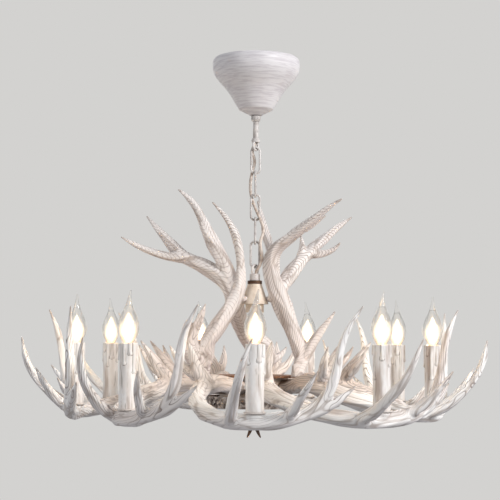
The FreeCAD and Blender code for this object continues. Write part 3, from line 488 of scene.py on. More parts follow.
def glow_finish(name, low, high, strength, clear):
    """Light of the burning lamp: yellow at its foot, white above."""
    made = Finish(name, Roughness=1.0)
    height = made.add("SeparateXYZ", {0: made.add("TexCoord", {}).outputs["Object"]}).outputs["Z"]
    rise = made.ramp(height, (base_top + 4.0) * MM, (base_top + 26.0) * MM)
    waver = made.math("MULTIPLY", made.noise(made.place((1.0, 1.0, 0.3)), 160.0, 2.0), 0.3)
    colour = made.mix(made.math("ADD", rise, waver, clamp=True), low, high)
    made.shader.inputs["Emission Strength"].default_value = strength
    made.shader.inputs["Alpha"].default_value = clear
    made.feed(made.shader.inputs["Emission Color"], colour)
    return made.finish(colour)


def cord_finish():
    """Cream sheath of the cord with faint soiling."""
    made = Finish("cord_plastic", Roughness=0.5)
    even = made.place()
    soil = made.noise(even, 130.0, 3.0)
    ribs = made.noise(made.place((1.0, 1.0, 0.2)), 900.0, 1.0)
    colour = made.mix(made.ramp(soil, 0.4, 0.7), paint(218, 206, 196), paint(176, 158, 146))
    return made.finish(colour, made.bump(ribs, 0.15, 0.0002))


# ---------------------------------------------------------------- cord
def cord_route():
    """Corner points of the power cord, as in the CAD: terminal block, rod, down the chain, cap, column."""
    return [(19.5, 0, -17), (19.5, 0, -9), (9.75, 0, -6), (0, 0, -10), (0, 0, -153), (-5, 5, -160.8),
            (-7, 7.5, contact[0] - 2), (0, 8.5, contact[0] - 20), (-7, 7.5, contact[1]),
            (-10, 2, contact[1] - 22), (-7.5, 7.5, contact[2]), (0, 0, contact[2] - 21),
            (9, -7.5, contact[3] + 2), (17, -3, contact[3] - 18), (7.5, -8, contact[4] + 1),
            (14.5, -7.5, contact[4] - 24), (6.5, -7.5, -381.4), (0, 0, -385.5), (0, 0, -578)]


def smooth_line(points):
    """Points of the smooth curve that corner points steer. It cuts them more than the CAD's arcs do."""
    data = bpy.data.curves.new("route", "CURVE")
    data.dimensions = "3D"
    data.resolution_u = 24
    spline = data.splines.new("NURBS")
    spline.points.add(len(points) - 1)
    for target, point in zip(spline.points, points):
        target.co = [x * MM for x in point] + [1.0]
    spline.order_u = 3
    spline.use_endpoint_u = True
    holder = put_in_scene("route", data)
    baked = bpy.data.meshes.new_from_object(holder)
    line = np.array([v.co for v in baked.vertices]) / MM
    bpy.data.objects.remove(holder)
    bpy.data.meshes.remove(baked)
    return line


def make_cord(material):
    """The cord in six stretches, cut at the middle of each link of the chain."""
    line = smooth_line(cord_route())
    middles = [level - link_step / 2.0 for level in contact[:link_count]]
    cuts = [0] + [int(np.argmax(line[:, 2] < level)) for level in middles] + [len(line) - 1]
    for i, level in enumerate(contact):
        path = line[cuts[i]:cuts[i + 1] + 1]
        points, faces = tube(path, np.full(len(path), cord_radius), sides=16)
        data = mesh_from("power_cord_%d" % (i + 1), points, faces, material)
        piece = link(data.name, data, None)
        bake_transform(piece)
        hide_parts("power_cord")


# ---------------------------------------------------------------- antlers
def from_seat(stations):
    """Stations given from the candle seat: to the right, outward, up, radius."""
    return [(side, -(candle_ring_radius + out), seat_level + rise, radius)
            for side, out, rise, radius in stations]


def beam_stations():
    """Main beam of a lower antler: out of the drum, round under its candle and off to the right."""
    reach = candle_ring_radius - drum_apothem
    near = drum_apothem + 0.085 * reach
    turn = root_angle - math.radians(2.0)
    stations = [((drum_apothem - 1.0) * math.sin(root_angle), -(drum_apothem - 1.0) * math.cos(root_angle),
                 root_level, root_radius),
                (near * math.sin(turn), -near * math.cos(turn), root_level + 1.0, root_radius + 1.5)]
    inner = [(0.165, -64.0, 40.0, 16.5), (0.335, -91.0, 29.0, 16.2), (0.565, -92.0, 10.0, 15.4),
             (0.80, -68.0, -6.0, 14.4), (0.955, -30.0, -12.5, 13.6)]
    for share, side, rise, radius in inner:
        stations.append((side, -(drum_apothem + share * reach), seat_level + rise, radius))
    outer = [(14.0, 4.0, -12.5, 13.4), (60.0, 11.0, -4.0, 12.4), (100.0, 11.0, 8.0, 10.0),
             (130.0, 9.0, 24.0, 6.6), (155.0, 5.0, 44.0, 1.5)]
    return stations + from_seat(outer)


# A lower antler's tines: (right of the seat, outward, up, radius).
outward_tine = [(-40.0, -30.0, -12.0, 11.0), (-37.0, 6.0, -4.0, 10.6), (-33.0, 46.0, 23.0, 9.0),
                (-25.0, 74.0, 54.0, 7.4), (-16.0, 88.0, 86.0, 5.4), (-4.0, 94.0, 117.0, 1.3)]
tall_tine = [(62.0, 10.0, -3.0, 10.4), (97.0, 14.0, 15.0, 9.8), (119.0, 15.0, 48.0, 9.0),
             (128.0, 16.0, 87.0, 7.6), (140.5, 17.0, 127.0, 5.6), (166.0, 17.0, 167.0, 1.3)]
inner_tine = [(-78.0, -188.0, 36.0, 13.0), (-93.0, -176.0, 58.0, 12.4), (-103.0, -160.0, 84.0, 8.6),
              (-111.0, -140.0, 112.0, 1.3)]
inner_fork = [(-84.0, -184.0, 46.0, 11.0), (-110.0, -180.0, 62.0, 9.4), (-130.0, -174.0, 82.0, 6.4),
              (-142.0, -167.0, 104.0, 1.3)]
short_tine = [(48.0, 10.0, -4.0, 10.2), (59.0, 29.0, 8.0, 9.0), (70.0, 47.0, 28.0, 7.2),
              (83.0, 62.0, 50.0, 4.6), (92.0, 70.0, 66.0, 1.3)]

# Upper antlers: (right, back, height over the hub plate, radius).
left_antler = [
    [(-88.0, -36.0, 4.0, 11.5), (-93.0, -43.0, 20.0, 13.0), (-100.0, -50.0, 38.0, 14.5),
     (-109.0, -53.0, 57.0, 12.5), (-105.0, -56.0, 78.0, 10.0), (-95.0, -58.0, 100.0, 7.0),
     (-86.0, -60.0, 125.0, 1.5)],
    [(-96.0, -49.0, 40.0, 13.0), (-76.0, -47.0, 68.0, 14.5), (-53.0, -38.0, 103.0, 14.4),
     (-35.0, -28.0, 134.0, 13.0), (-26.0, -24.0, 168.0, 11.0), (-26.0, -30.0, 206.0, 8.8),
     (-35.0, -40.0, 246.0, 7.6), (-54.0, -49.0, 280.0, 5.0), (-76.0, -56.0, 304.0, 1.5)],
    [(-100.0, -46.0, 16.0, 11.0), (-112.0, -50.0, 34.0, 11.5), (-120.0, -52.0, 54.0, 10.5),
     (-121.0, -54.0, 74.0, 8.5), (-116.0, -56.0, 92.0, 5.0), (-108.0, -57.0, 106.0, 1.5)],
    [(-90.0, -40.0, 10.0, 10.0), (-84.0, -43.0, 28.0, 12.0), (-82.0, -46.0, 48.0, 13.0),
     (-78.0, -47.0, 68.0, 12.5)]]
right_antler = [
    [(75.0, -58.0, 4.0, 11.5), (81.0, -50.0, 22.0, 13.0), (92.0, -44.0, 42.0, 12.5),
     (105.0, -46.0, 63.0, 9.6), (122.0, -48.0, 86.0, 6.6), (141.0, -50.0, 113.0, 1.5)],
    [(84.0, -46.0, 30.0, 13.0), (75.0, -36.0, 60.0, 15.6), (57.0, -24.0, 104.0, 17.0),
     (41.0, -12.0, 146.0, 17.5), (29.0, -8.0, 190.0, 14.8), (35.0, -13.0, 220.0, 13.4),
     (57.0, -23.0, 240.0, 11.6), (80.0, -36.0, 258.0, 10.0), (104.0, -49.0, 276.0, 8.2),
     (128.0, -60.0, 295.0, 5.6), (152.0, -70.0, 310.0, 1.5)],
    [(76.0, -33.0, 254.0, 7.0), (101.0, -31.0, 266.0, 5.0), (126.0, -28.0, 285.0, 1.3)],
    [(42.0, -6.0, 144.0, 12.0), (62.0, 20.0, 179.0, 13.4), (83.0, 40.0, 206.0, 13.4),
     (104.0, 56.0, 229.0, 11.6), (129.0, 72.0, 251.0, 9.2), (155.0, 86.0, 274.0, 6.4),
     (182.0, 98.0, 294.0, 1.5)],
    [(97.0, 52.0, 222.0, 9.5), (124.0, 54.0, 222.0, 7.5), (145.0, 50.0, 230.0, 5.0),
     (157.0, 46.0, 242.0, 1.3)],
    [(80.0, 38.0, 204.0, 10.5), (87.0, 44.0, 230.0, 7.6), (84.0, 50.0, 255.0, 1.5)],
    [(33.0, -6.0, 196.0, 10.0), (29.0, 26.0, 224.0, 9.2), (21.0, 46.0, 254.0, 8.0),
     (14.0, 56.0, 284.0, 6.0), (4.0, 61.0, 320.0, 1.5)]]
back_antler = [
    [(14.0, 91.0, 4.0, 11.5), (22.0, 94.0, 18.0, 12.0), (36.0, 97.0, 26.0, 9.5),
     (50.0, 100.0, 36.0, 6.2), (61.0, 103.0, 50.0, 1.5)],
    [(14.0, 89.0, 12.0, 12.0), (6.0, 81.0, 40.0, 14.6), (-13.0, 66.0, 66.0, 15.4),
     (-27.0, 53.0, 96.0, 16.0), (-36.0, 41.0, 126.0, 17.2), (-44.0, 36.0, 155.0, 18.0),
     (-70.0, 42.0, 182.0, 15.8), (-102.0, 49.0, 201.0, 13.4), (-129.0, 53.0, 214.0, 12.0),
     (-155.0, 57.0, 238.0, 10.0), (-178.0, 60.0, 264.0, 7.2), (-201.0, 63.0, 290.0, 1.5)],
    [(-124.0, 51.0, 211.0, 9.8), (-157.0, 42.0, 214.0, 8.8), (-194.0, 35.0, 224.0, 6.8),
     (-222.0, 30.0, 236.0, 4.6), (-244.0, 26.0, 248.0, 1.3)],
    [(-44.0, 35.0, 158.0, 15.0), (-55.0, 33.0, 200.0, 13.6), (-75.0, 28.0, 235.0, 13.0),
     (-90.0, 22.0, 266.0, 11.8), (-101.0, 18.0, 290.0, 9.2), (-117.0, 14.0, 314.0, 6.0),
     (-140.0, 10.0, 334.0, 1.5)],
    [(-80.0, 28.0, 240.0, 7.4), (-92.0, 33.0, 258.0, 6.0), (-100.0, 37.0, 283.0, 1.3)],
    [(18.0, 91.0, 8.0, 11.0), (27.0, 90.0, 26.0, 12.0), (27.0, 84.0, 46.0, 12.5),
     (10.0, 75.0, 64.0, 12.5), (-12.0, 66.0, 78.0, 12.0)]]

# Which lower antler carries each upper one, counted from the front, and where its lug ends beside the cap.
carriers = {"left": 8, "right": 2, "back": 5}
lug_ends = {"left": (-34.0, -28.0), "right": (44.0, -14.0), "back": (-38.0, 40.0)}


class Limb:
    """One smooth limb with its centre line, radii and steady frames, for shape and grain."""

    def __init__(self, stations, earlier):
        self.curve, self.radii = spline_through(stations)
        self.tangent, self.first, self.second = frames_along(self.curve)
        lengths = np.linalg.norm(np.diff(self.curve, axis=0), axis=1)
        self.along = np.concatenate([[0.0], np.cumsum(lengths)])
        if earlier:
            nearest = [np.linalg.norm(other.curve - self.curve[0], axis=1) for other in earlier]
            parent = int(np.argmin([d.min() for d in nearest]))
            self.along += earlier[parent].along[int(nearest[parent].argmin())]

    def place(self, points):
        """Each point's distance in radii, its place across and along the limb, and its nearest station."""
        batch = 4000
        nearest = np.empty(len(points), int)
        for low in range(0, len(points), batch):
            gaps = points[low:low + batch, None, :] - self.curve[None, :, :]
            nearest[low:low + batch] = (gaps ** 2).sum(axis=2).argmin(axis=1)
        offset = points - self.curve[nearest]
        distance = np.linalg.norm(offset, axis=1)
        across = np.stack([(offset * self.first[nearest]).sum(axis=1),
                           (offset * self.second[nearest]).sum(axis=1)], axis=1)
        length = self.along[nearest] + (offset * self.tangent[nearest]).sum(axis=1)
        return distance / self.radii[nearest], np.column_stack([across, length]), nearest


def fused_limbs(limbs, extra):
    """Limbs grown together into one skin with soft forks; thin tips are drawn in afterwards.

    Returns the mesh, its points in millimetres, and the radius of the limb that each point lies on.
    """
    points = []
    faces = []
    tubes = [tube(limb.curve, np.maximum(limb.radii, thinnest), oval=0.06) for limb in limbs]
    for more, skin in tubes + extra:
        faces += [[i + len(points) for i in face] for face in skin]
        points += more.tolist()
    data = mesh_from("rough", points, faces)
    rough = put_in_scene("rough", data)
    remesh = rough.modifiers.new("remesh", "REMESH")
    remesh.mode = "VOXEL"
    remesh.voxel_size = skin_voxel * MM
    smooth = rough.modifiers.new("smooth", "SMOOTH")
    smooth.factor = 0.5
    smooth.iterations = 7
    bpy.context.view_layer.update()
    skin = bpy.data.meshes.new_from_object(rough.evaluated_get(bpy.context.evaluated_depsgraph_get()))
    bpy.data.objects.remove(rough)
    bpy.data.meshes.remove(data)
    points = np.empty(len(skin.vertices) * 3)
    skin.vertices.foreach_get("co", points)
    points = points.reshape(-1, 3) / MM
    found = [limb.place(points) for limb in limbs]
    closest = np.argmin([ratio for ratio, _, _ in found], axis=0)
    girth = np.empty(len(points))
    for i, limb in enumerate(limbs):
        chosen = np.where(closest == i)[0]
        at = found[i][2][chosen]
        share = np.minimum(1.0, limb.radii[at] / thinnest)
        points[chosen] = limb.curve[at] + (points[chosen] - limb.curve[at]) * share[:, None]
        girth[chosen] = limb.radii[at]
    return skin, points, girth


def grain_of(points, limbs):
    """Grain coordinates that run along the limbs and swirl where two limbs meet."""
    weights = []
    places = []
    for limb in limbs:
        ratio, place, _ = limb.place(points)
        weights.append(np.exp(-np.maximum(ratio - 1.0, 0.0) / 0.22))
        places.append(place)
    weights = np.array(weights) + 1e-6
    weights /= weights.sum(axis=0)
    return (weights[..., None] * np.array(places)).sum(axis=0)


def carve(skin, points, grain, flats, girth, seed):
    """Moves a skin's points in and out: flats, long gutters, shallow lumps, all fading out in the tips.

    Returns the points, how hollow each is, and how much each faces down, which the finish turns into
    painted underside shade.
    """
    skin.vertices.foreach_set("co", (points * MM).ravel())
    skin.update()
    normals = np.empty(len(points) * 3)
    skin.vertex_normals.foreach_get("vector", normals)
    normals = normals.reshape(-1, 3)
    shift = np.array((3.1, 7.7, 1.3)) * seed * 10.0
    gutter = lattice_noise(grain / gutter_size + shift, seed)
    gutter = np.clip(1.0 - np.abs(gutter) * 2.6, 0.0, 1.0) ** 1.5
    ripple = lattice_noise(grain / ripple_size + shift, seed + 40)
    lump = lattice_noise(grain / lump_size + shift, seed + 80)
    height = lump_height * lump + ripple_height * ripple - gutter_depth * gutter
    height *= np.clip((girth - 1.5) / 7.0, 0.0, 1.0)
    height += flat_share * girth * (flats - 0.88) * np.clip((girth - 2.0) / 3.0, 0.0, 1.0)
    hollow = np.clip(gutter - 0.3 * ripple, 0.0, 1.0) + 0.9 * np.clip((3.6 - girth) / 1.6, 0.0, 1.0)
    return points + normals * height[:, None], hollow, np.clip(-normals[:, 2], 0.0, 1.0)


def flats_of(grain):
    """Outline of a rounded four-sided section that turns slowly along the limb: 1 at its edges."""
    quarter = math.pi / 2.0
    angle = np.arctan2(grain[:, 1], grain[:, 0]) + grain[:, 2] / 55.0
    return math.cos(quarter / 2.0) / np.cos(np.mod(angle, quarter) - quarter / 2.0)


def turned_about(points, angle):
    """Points turned about the upright axis."""
    cosine, sine = math.cos(angle), math.sin(angle)
    x = points[:, 0] * cosine - points[:, 1] * sine
    y = points[:, 0] * sine + points[:, 1] * cosine
    return np.column_stack([x, y, points[:, 2]])


def finish_antler(name, skin, points, grain, hollow, under, material):
    """Stores the shaped points and the grain on the mesh, and puts the antler on the lamp."""
    skin.name = name
    skin.vertices.foreach_set("co", (points * MM).ravel())
    skin.shade_smooth()
    grain_data = skin.attributes.new("grain", "FLOAT_VECTOR", "POINT")
    grain_data.data.foreach_set("vector", (grain * MM).astype(np.float32).ravel())
    store(skin, "hollow", hollow)
    store(skin, "under", under)
    skin.materials.clear()
    skin.materials.append(material)
    skin.update()
    piece = link(name + "_skin", skin, "lamp")
    piece.shadow_terminator_geometry_offset = 0.2
    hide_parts(name)


def press_down(points, right, back, radius, level):
    """Presses the points round an upright axis down to a level, to seat what stands there."""
    near = np.hypot(points[:, 0] - right, points[:, 1] - back) < radius + seat_margin
    points[near, 2] = np.minimum(points[near, 2], level)


def foot_point(carrier):
    """Middle of an upper antler's foot on the lower antler that carries it."""
    return turned_about(np.array([[-foot_side, -foot_reach, foot_level]]), lamp_pitch * carrier)[0]


def make_lower_antlers(material):
    """Nine antlers from one set of stations, each carved differently and turned to its candle."""
    limbs = []
    tines = [outward_tine, tall_tine, short_tine, inner_tine, inner_fork]
    for stations in [beam_stations()] + [from_seat(tine) for tine in tines]:
        limbs.append(Limb(stations, limbs))
    seat_rings = 15
    upright = [(0.0, -candle_ring_radius, seat_level - i) for i in reversed(range(seat_rings))]
    boss = tube(np.array(upright), np.linspace(seat_radius - 1.5, seat_radius, seat_rings), sides=32)
    rough, points, girth = fused_limbs(limbs, [boss])
    grain = grain_of(points, limbs)
    flats = flats_of(grain)
    outward = np.array((math.sin(root_angle), -math.cos(root_angle)))
    for i in range(lamp_count):
        skin = rough.copy()
        own_grain = grain + grain_shift * i
        shaped, hollow, under = carve(skin, points, own_grain, flats, girth, i + 1)
        press_down(shaped, 0.0, -candle_ring_radius, seat_radius, seat_level)
        too_deep = np.maximum(0.0, drum_apothem + 0.1 - shaped[:, :2] @ outward)
        near_drum = (np.hypot(shaped[:, 0], shaped[:, 1]) < root_end_reach)[:, None]
        shaped[:, :2] += np.where(near_drum, too_deep[:, None] * outward, 0.0)
        if i in carriers.values():
            press_down(shaped, -foot_side, -foot_reach, foot_radius, foot_level)
        finish_antler("lower_antler_%d" % (i + 1), skin, turned_about(shaped, lamp_pitch * i), own_grain,
                      hollow, under, material)
    bpy.data.meshes.remove(rough)


def make_upper_antler(name, branches, seed, material):
    """One upper antler that stands on a lower antler's root and is screwed to the neck cap."""
    limbs = []
    for branch in branches:
        limbs.append(Limb([(x, y, plate_top + rise, radius) for x, y, rise, radius in branch], limbs))
    foot = foot_point(carriers[name])
    foot_rings = 23
    upright = foot + np.array([(0.0, 0.0, float(i)) for i in range(foot_rings)])
    boss = tube(upright, np.full(foot_rings, foot_radius), sides=32)
    lug_rings = 12
    reach = np.hypot(*lug_ends[name])
    towards = np.append(np.array(lug_ends[name]) / reach, 0.0)
    outward = np.linspace(lug_start, reach, lug_rings)[:, None] * towards
    lug = tube(outward + (0.0, 0.0, lug_level), np.full(lug_rings, lug_radius), sides=16)
    skin, points, girth = fused_limbs(limbs, [boss, lug])
    grain = grain_of(points, limbs)
    shaped, hollow, under = carve(skin, points, grain, flats_of(grain), girth, seed)
    near_foot = np.hypot(shaped[:, 0] - foot[0], shaped[:, 1] - foot[1]) < foot_end_reach
    low = near_foot & (shaped[:, 2] < foot_level + 0.3)
    shaped[low, 2] = foot_level + 0.1
    finish_antler("upper_antler_" + name, skin, shaped, grain + (0.0, 0.0, 70.0 * seed), hollow, under,
                  material)


# ---------------------------------------------------------------- candles and bulbs
# How much more than the least each sleeve is stained, from the front one round.
sleeve_stain = [0.0, 0.12, 0.16, 0.06, 0.1, 0.04, 0.08, 0.02, 0.05]

# Wax runs down a sleeve: degrees round it, and length.
wax_runs = [(20, 38), (62, 22), (95, 58), (140, 30), (188, 46), (226, 20), (262, 66), (310, 34)]


def make_sleeve(number, seed, stain, material):
    """Candle tube with melted rim, wax runs that end in drops, and its own amount of staining."""
    sides, rings = 80, 74
    turn = np.linspace(0.0, 2.0 * math.pi, sides, endpoint=False)
    drops = np.random.default_rng(seed)
    rim = -0.9 + 0.9 * np.cos(3.0 * turn + seed) * np.sin(2.0 * turn + 2.0 * seed)
    level = np.linspace(cup_top, sleeve_top, rings)[:, None]
    radius = np.full((rings, sides), sleeve_radius - sleeve_inset)
    radius += 0.18 * np.sin(5.0 * turn + 0.16 * level + seed)
    hollow = np.zeros((rings, sides))
    for degrees, length in wax_runs:
        angle = math.radians(degrees) - math.pi / 2 + drops.uniform(-0.12, 0.12)
        bottom = sleeve_top - length * drops.uniform(0.8, 1.15)
        width = drops.uniform(2.0, 2.7)
        across = np.abs((turn - angle + math.pi) % (2.0 * math.pi) - math.pi) * sleeve_radius
        across = across + 0.35 * np.sin(level * 0.11 + degrees)
        below = np.clip((bottom + 4.0 - level) / 4.0, 0.0, 1.0)
        drop = 1.0 + 0.45 * np.exp(-((level - bottom - 2.0) / 5.0) ** 2)
        reach = np.sqrt((across / (width * drop)) ** 2 + below ** 2 * 4.0)
        crest = 1.7 * drop * np.sqrt(np.clip(1.0 - reach ** 2, 0.0, 1.0))
        radius = np.maximum(radius, sleeve_radius - sleeve_inset + crest)
        hollow += np.exp(-((reach - 1.25) / 0.25) ** 2) * (level > bottom - 6.0)
    inner = np.full((1, sides), sleeve_radius - sleeve_wall)
    radius = np.concatenate([radius, inner + 0.5, inner, inner])
    top = sleeve_top + rim
    bore_end = np.full(sides, sleeve_top - sleeve_bore_depth)
    height = np.concatenate([np.minimum(level, top), [top + 0.4, top - 0.6, bore_end]])
    hollow = np.concatenate([hollow, np.zeros((3, sides))])
    points = np.stack([radius * np.cos(turn), radius * np.sin(turn) - candle_ring_radius, height], axis=2)
    points = turned_about(points.reshape(-1, 3), lamp_pitch * number)
    name = "candle_sleeve_%d" % (number + 1)
    data = mesh_from(name, points, grid_faces(len(radius), sides), material)
    store(data, "hollow", np.clip(hollow, 0.0, 1.0).ravel())
    store(data, "stain", np.full(hollow.size, stain))
    piece = link(name + "_wax", data, "lamp")
    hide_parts(name)


# Candle bulb from its neck upward: height over the base, radius, sideways bend of the tip. The first
# stations have a hollow inside. The glow has heights and radii only.
bulb_hollow_stations = 9
bulb_outline = [(0.0, 6.6, 0.0), (5.0, 8.2, 0.0), (11.0, 12.0, 0.0), (19.0, 15.8, 0.0),
                (28.0, 17.5, 0.0), (38.0, 16.6, 0.0), (48.0, 13.2, 0.0), (57.0, 9.0, 0.2),
                (65.0, 5.8, 0.8), (73.0, 3.6, 1.8), (81.0, 2.2, 3.2), (89.0, 1.0, 4.8)]
glow_outline = [(3.0, 3.4), (7.0, 5.2), (12.0, 7.2), (19.0, 8.6), (27.0, 8.6), (35.0, 7.0), (42.0, 4.6),
                (48.0, 2.4), (52.0, 0.6)]


def bulb_skin(outline, number, sides):
    """Points of a round shell through (height, radius, bend) stations over the base, and its rings."""
    stations = [(bend, 0.0, height, radius) for height, radius, bend in outline]
    curve, radii = spline_through(stations, 1.6)
    curve = curve + (0.0, -candle_ring_radius, base_top)
    turn = np.linspace(0.0, 2.0 * math.pi, sides, endpoint=False)
    ring = np.stack([np.cos(turn), np.sin(turn), np.zeros(sides)], axis=1)
    points = (curve[:, None, :] + radii[:, None, None] * ring[None, :, :]).reshape(-1, 3)
    return turned_about(points, lamp_pitch * number), len(curve)


def make_bulb_light(number):
    """Warm light that the burning lamp throws on what is near it."""
    lamp = bpy.data.lights.new("bulb_light", "POINT")
    lamp.energy = 0.22
    lamp.color = (1.0, 0.74, 0.42)
    lamp.shadow_soft_size = 0.015
    flame = np.array([[0.0, -candle_ring_radius, base_top + flame_height]])
    holder = put_in_scene("bulb_light_%d" % (number + 1), lamp)
    holder.location = turned_about(flame, lamp_pitch * number)[0] * MM
    holder.visible_camera = False
    holder.visible_glossy = False
    holder.visible_transmission = False
    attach(holder, "lamp")


def make_bulb(number, glass, glow, halo, haze):
    """Blown glass envelope with a bent flame tip, and the three shells of light inside it."""
    outer, outer_rings = bulb_skin(bulb_outline, number, bulb_sides)
    hollow_part = bulb_outline[:bulb_hollow_stations]
    shrunk = [(height, radius - bulb_thickness, bend) for height, radius, bend in hollow_part]
    inner, inner_rings = bulb_skin(shrunk, number, bulb_sides)
    faces = grid_faces(outer_rings, bulb_sides)
    faces += [face[::-1] for face in grid_faces(inner_rings, bulb_sides, len(outer))]
    faces.append(tuple(len(outer) - bulb_sides + i for i in range(bulb_sides)))
    faces.append(tuple(len(outer) + len(inner) - 1 - i for i in range(bulb_sides)))
    for side in range(bulb_sides):
        after = (side + 1) % bulb_sides
        faces.append((after, side, len(outer) + side, len(outer) + after))
    name = "bulb_glass_%d" % (number + 1)
    data = mesh_from(name, np.concatenate([outer, inner]), faces, glass)
    piece = link(name + "_shell", data, "lamp")
    piece.visible_shadow = False
    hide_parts(name)

    for kind, grow, material in [("glow", 0.5, glow), ("halo", 0.85, halo), ("haze", 1.25, haze)]:
        outline = [(height, radius * grow, 0.0) for height, radius in glow_outline]
        points, rings = bulb_skin(outline, number, glow_sides)
        faces = grid_faces(rings, glow_sides)
        faces.append(tuple(reversed(range(glow_sides))))
        faces.append(tuple(len(points) - glow_sides + i for i in range(glow_sides)))
        data = mesh_from("bulb_%s_%d" % (kind, number + 1), points, faces, material)
        light = link(data.name, data, "lamp")
        light.visible_shadow = False


# ---------------------------------------------------------------- canopy
def make_canopy(material):
    """Bell-shaped ceiling cover with a rolled rim, a little uneven under its brushed paint."""
    swell = canopy_radius - canopy_floor_radius
    side = canopy_height - canopy_floor_fall
    corners = [(canopy_radius - 3.5, 0.0), (canopy_radius - 1.0, 3.5), (canopy_radius, 10.0),
               (canopy_radius - 0.4, 18.0), (canopy_radius - 3.2, 27.5),
               (canopy_floor_radius + 0.80 * swell, 0.41 * side),
               (canopy_floor_radius + 0.48 * swell, 0.60 * side),
               (canopy_floor_radius + 0.23 * swell, 0.80 * side),
               (canopy_floor_radius, side)]
    curve, _ = spline_through([(radius, 0.0, -drop, 1.0) for radius, drop in corners], 1.5)
    outer = [(x, z) for x, _, z in curve]
    narrowing = canopy_flat_radius - canopy_floor_radius
    under = [(canopy_floor_radius + narrowing * share, -side - canopy_floor_fall * share)
             for share in np.linspace(0.04, 1.0, 9)]
    bottom_inside = canopy_wall - canopy_height
    under += [(canopy_hole_radius, -canopy_height), (canopy_hole_radius, bottom_inside),
              (canopy_flat_radius, bottom_inside)]
    skin = canopy_wall + 0.2
    inside = [(x - skin, z) for x, z in reversed(outer)]
    inside[0] = (canopy_floor_radius - skin, canopy_wall - side)
    points, faces = lathe(outer + under + inside, canopy_sides)
    angle = np.arctan2(points[:, 1], points[:, 0])
    wave = lattice_noise(np.column_stack([np.cos(angle) * 3.0, np.sin(angle) * 3.0, points[:, 2] / 2.2]), 5)
    outside = np.hypot(points[:, 0], points[:, 1]) > canopy_floor_radius + 0.5
    points[:, :2] *= 1.0 + np.where(outside, 0.0016 * (wave - 1.0), 0.0)[:, None]
    data = mesh_from("canopy_bell", points, faces, material)
    piece = link("canopy_bell", data, "canopy")
    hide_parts("canopy")


# ---------------------------------------------------------------- stage
def make_stage():
    """Plain pale floor, even background, a soft key lamp from the front right, a weak fill, a back lamp."""
    floor = bpy.data.meshes.new("floor")
    half, level = 12.0, -4.0
    floor.from_pydata([(-half, -half, level), (half, -half, level), (half, half, level),
                       (-half, half, level)], [], [(0, 1, 2, 3)])
    made = Finish("floor", Roughness=1.0, Emission_Color=paint(211, 210, 208))
    cloud = made.noise(made.place(), 1.5, 2.0)
    seen = made.add("LightPath", {}).outputs["Is Camera Ray"]
    made.feed(made.shader.inputs["Emission Strength"], made.math("MULTIPLY", seen, 0.47))
    floor.materials.append(made.finish(made.mix(cloud, paint(208, 207, 205), paint(214, 213, 211))))
    plane = put_in_scene("floor", floor)

    world = bpy.data.worlds.new("world")
    bpy.context.scene.world = world
    world.use_nodes = True
    nodes = Nodes(world.node_tree)
    lit = nodes.tree.nodes["Background"]
    nodes.feed(lit.inputs["Color"], (0.93, 0.96, 1.0, 1.0))
    nodes.feed(lit.inputs["Strength"], 0.5)
    shown = nodes.add("Background", {"Color": paint(211, 210, 208)})
    rays = nodes.add("LightPath", {}).outputs
    seen = nodes.math("MAXIMUM", rays["Is Glossy Ray"], rays["Is Transmission Ray"])
    seen = nodes.math("MAXIMUM", rays["Is Camera Ray"], seen)
    mixed = nodes.add("MixShader", {0: seen, 1: lit.outputs[0], 2: shown.outputs[0]})
    nodes.feed(nodes.tree.nodes["World Output"].inputs["Surface"], mixed.outputs[0])

    middle = Vector((0.0, 0.0, -0.45))
    for name, place, size, power, colour in [
            ("key", (2.4, -1.8, 0.8), 0.8, 86.0, (1.0, 0.985, 0.98)),
            ("fill", (-2.4, -1.8, -0.6), 1.6, 10.0, (1.0, 0.96, 0.97)),
            ("back", (-0.6, 2.7, 0.7), 1.8, 55.0, (1.0, 0.99, 0.975))]:
        lamp = bpy.data.lights.new(name, "AREA")
        lamp.size = size
        lamp.energy = power
        lamp.color = colour
        holder = put_in_scene(name, lamp)
        holder.location = place
        holder.visible_transmission = False
        holder.visible_glossy = name == "key"
        holder.rotation_euler = (middle - Vector(place)).to_track_quat("-Z", "Y").to_euler()


# ---------------------------------------------------------------- build
# Colours of the CAD's own solids, by slot or by node. Enamel: light, worn, dirt and painted shade. Patina:
# base, rust, pale.
# Plastic: base, dark.
enamels = {
    "cream_enamel": [(212, 208, 206), (174, 167, 163), (58, 50, 46)],
    "neck_cap": [(222, 210, 196), (204, 186, 168), (112, 84, 58)],
    "hub_drum": [(212, 198, 186), (188, 168, 152), (104, 82, 64)],
    "candle_cups": [(220, 212, 206), (190, 178, 168), (104, 84, 70)]}
patinas = {
    "rust_metal": [(112, 76, 54), (156, 110, 78), (186, 166, 150)],
    "hub_cover": [(92, 80, 74), (196, 184, 176), (226, 220, 214)],
    "cap_washer": [(74, 52, 38), (96, 70, 52), (130, 108, 92)],
    "aged_metal": [(74, 58, 48), (112, 84, 64), (190, 176, 166)]}
plastics = {
    "socket_plastic": [(46, 42, 38), (30, 27, 25)],
    "terminal_plastic": [(226, 224, 216), (206, 202, 194)]}


def dress_cad(finishes):
    """Gives every CAD node that stays its own finish, by its name or else by its slot."""
    slots = {part["node"]: part["material_slot"] for part in frame["record"]["subparts"]}
    for name, shown in frame["nodes"].items():
        finish = finishes.get(name, finishes.get(slots.get(name)))
        if finish and not shown.hide_render:
            shown.data.materials.clear()
            shown.data.materials.append(finish)


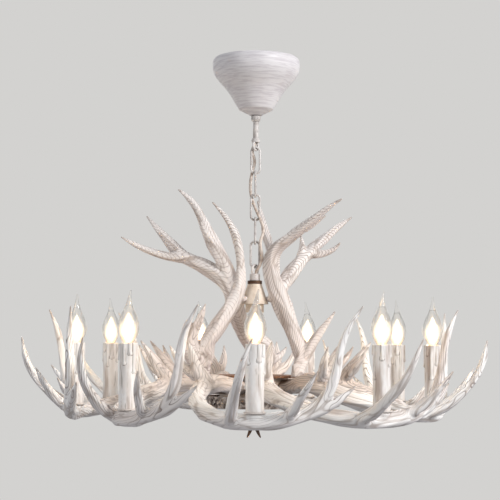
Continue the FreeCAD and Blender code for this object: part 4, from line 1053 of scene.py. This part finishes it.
def build():
    """Builds the camera, cord, antlers, candles, bulbs and canopy, then dresses the CAD's solids."""
    make_camera()
    bpy.context.scene.view_settings.view_transform = "Standard"
    cord = cord_finish()
    make_cord(cord)

    upper = antler_finish("upper_antler", paint(218, 208, 203), paint(232, 227, 224),
                          paint(200, 190, 190), paint(142, 124, 118), (-190.0, 110.0, 130.0), 6.0, 0.4, 0.0)
    lower = antler_finish("lower_antler", paint(226, 217, 212), paint(242, 240, 238),
                          paint(188, 182, 184), paint(128, 113, 108), (210.0, 150.0, 38.0), 6.0, 0.2, 0.7)
    make_lower_antlers(lower)
    for name, branches, seed in [("left", left_antler, 21), ("right", right_antler, 22),
                                 ("back", back_antler, 23)]:
        make_upper_antler(name, branches, seed, upper)

    candle = candle_finish()
    glass = glass_finish()
    glow = glow_finish("bulb_glow", (1.0, 0.7, 0.34, 1.0), (1.0, 0.96, 0.86, 1.0), 1.5, 1.0)
    halo = glow_finish("bulb_halo", (1.0, 0.66, 0.28, 1.0), (1.0, 0.9, 0.66, 1.0), 0.95, 0.3)
    haze = glow_finish("bulb_haze", (1.0, 0.74, 0.46, 1.0), (1.0, 0.9, 0.76, 1.0), 0.85, 0.13)
    for i in range(lamp_count):
        make_sleeve(i, 31 + i, sleeve_stain[i], candle)
        make_bulb(i, glass, glow, halo, haze)
        make_bulb_light(i)

    whitewash = whitewash_finish()
    make_canopy(whitewash)
    finishes = {
        "whitewash": whitewash,
        "cord_plastic": cord,
        "steel": bare_metal("steel", (0.62, 0.62, 0.62, 1.0), (0.42, 0.42, 0.43, 1.0), 0.32),
        "bulb_brass": bare_metal("bulb_brass", (0.72, 0.55, 0.3, 1.0), (0.5, 0.36, 0.18, 1.0), 0.28),
        "filament": glow_finish("filament", (1.0, 0.6, 0.2, 1.0), (1.0, 0.8, 0.5, 1.0), 1.0, 1.0),
        "lead_plastic": moulded_plastic("lead_plastic", paint(214, 206, 196), paint(190, 180, 168), 0.5)}
    for make, recipes in [(aged_enamel, enamels), (rusty_metal, patinas), (moulded_plastic, plastics)]:
        for name, colours in recipes.items():
            finishes[name] = make(name, *[paint(*colour) for colour in colours])
    dress_cad(finishes)
    make_stage()


build()
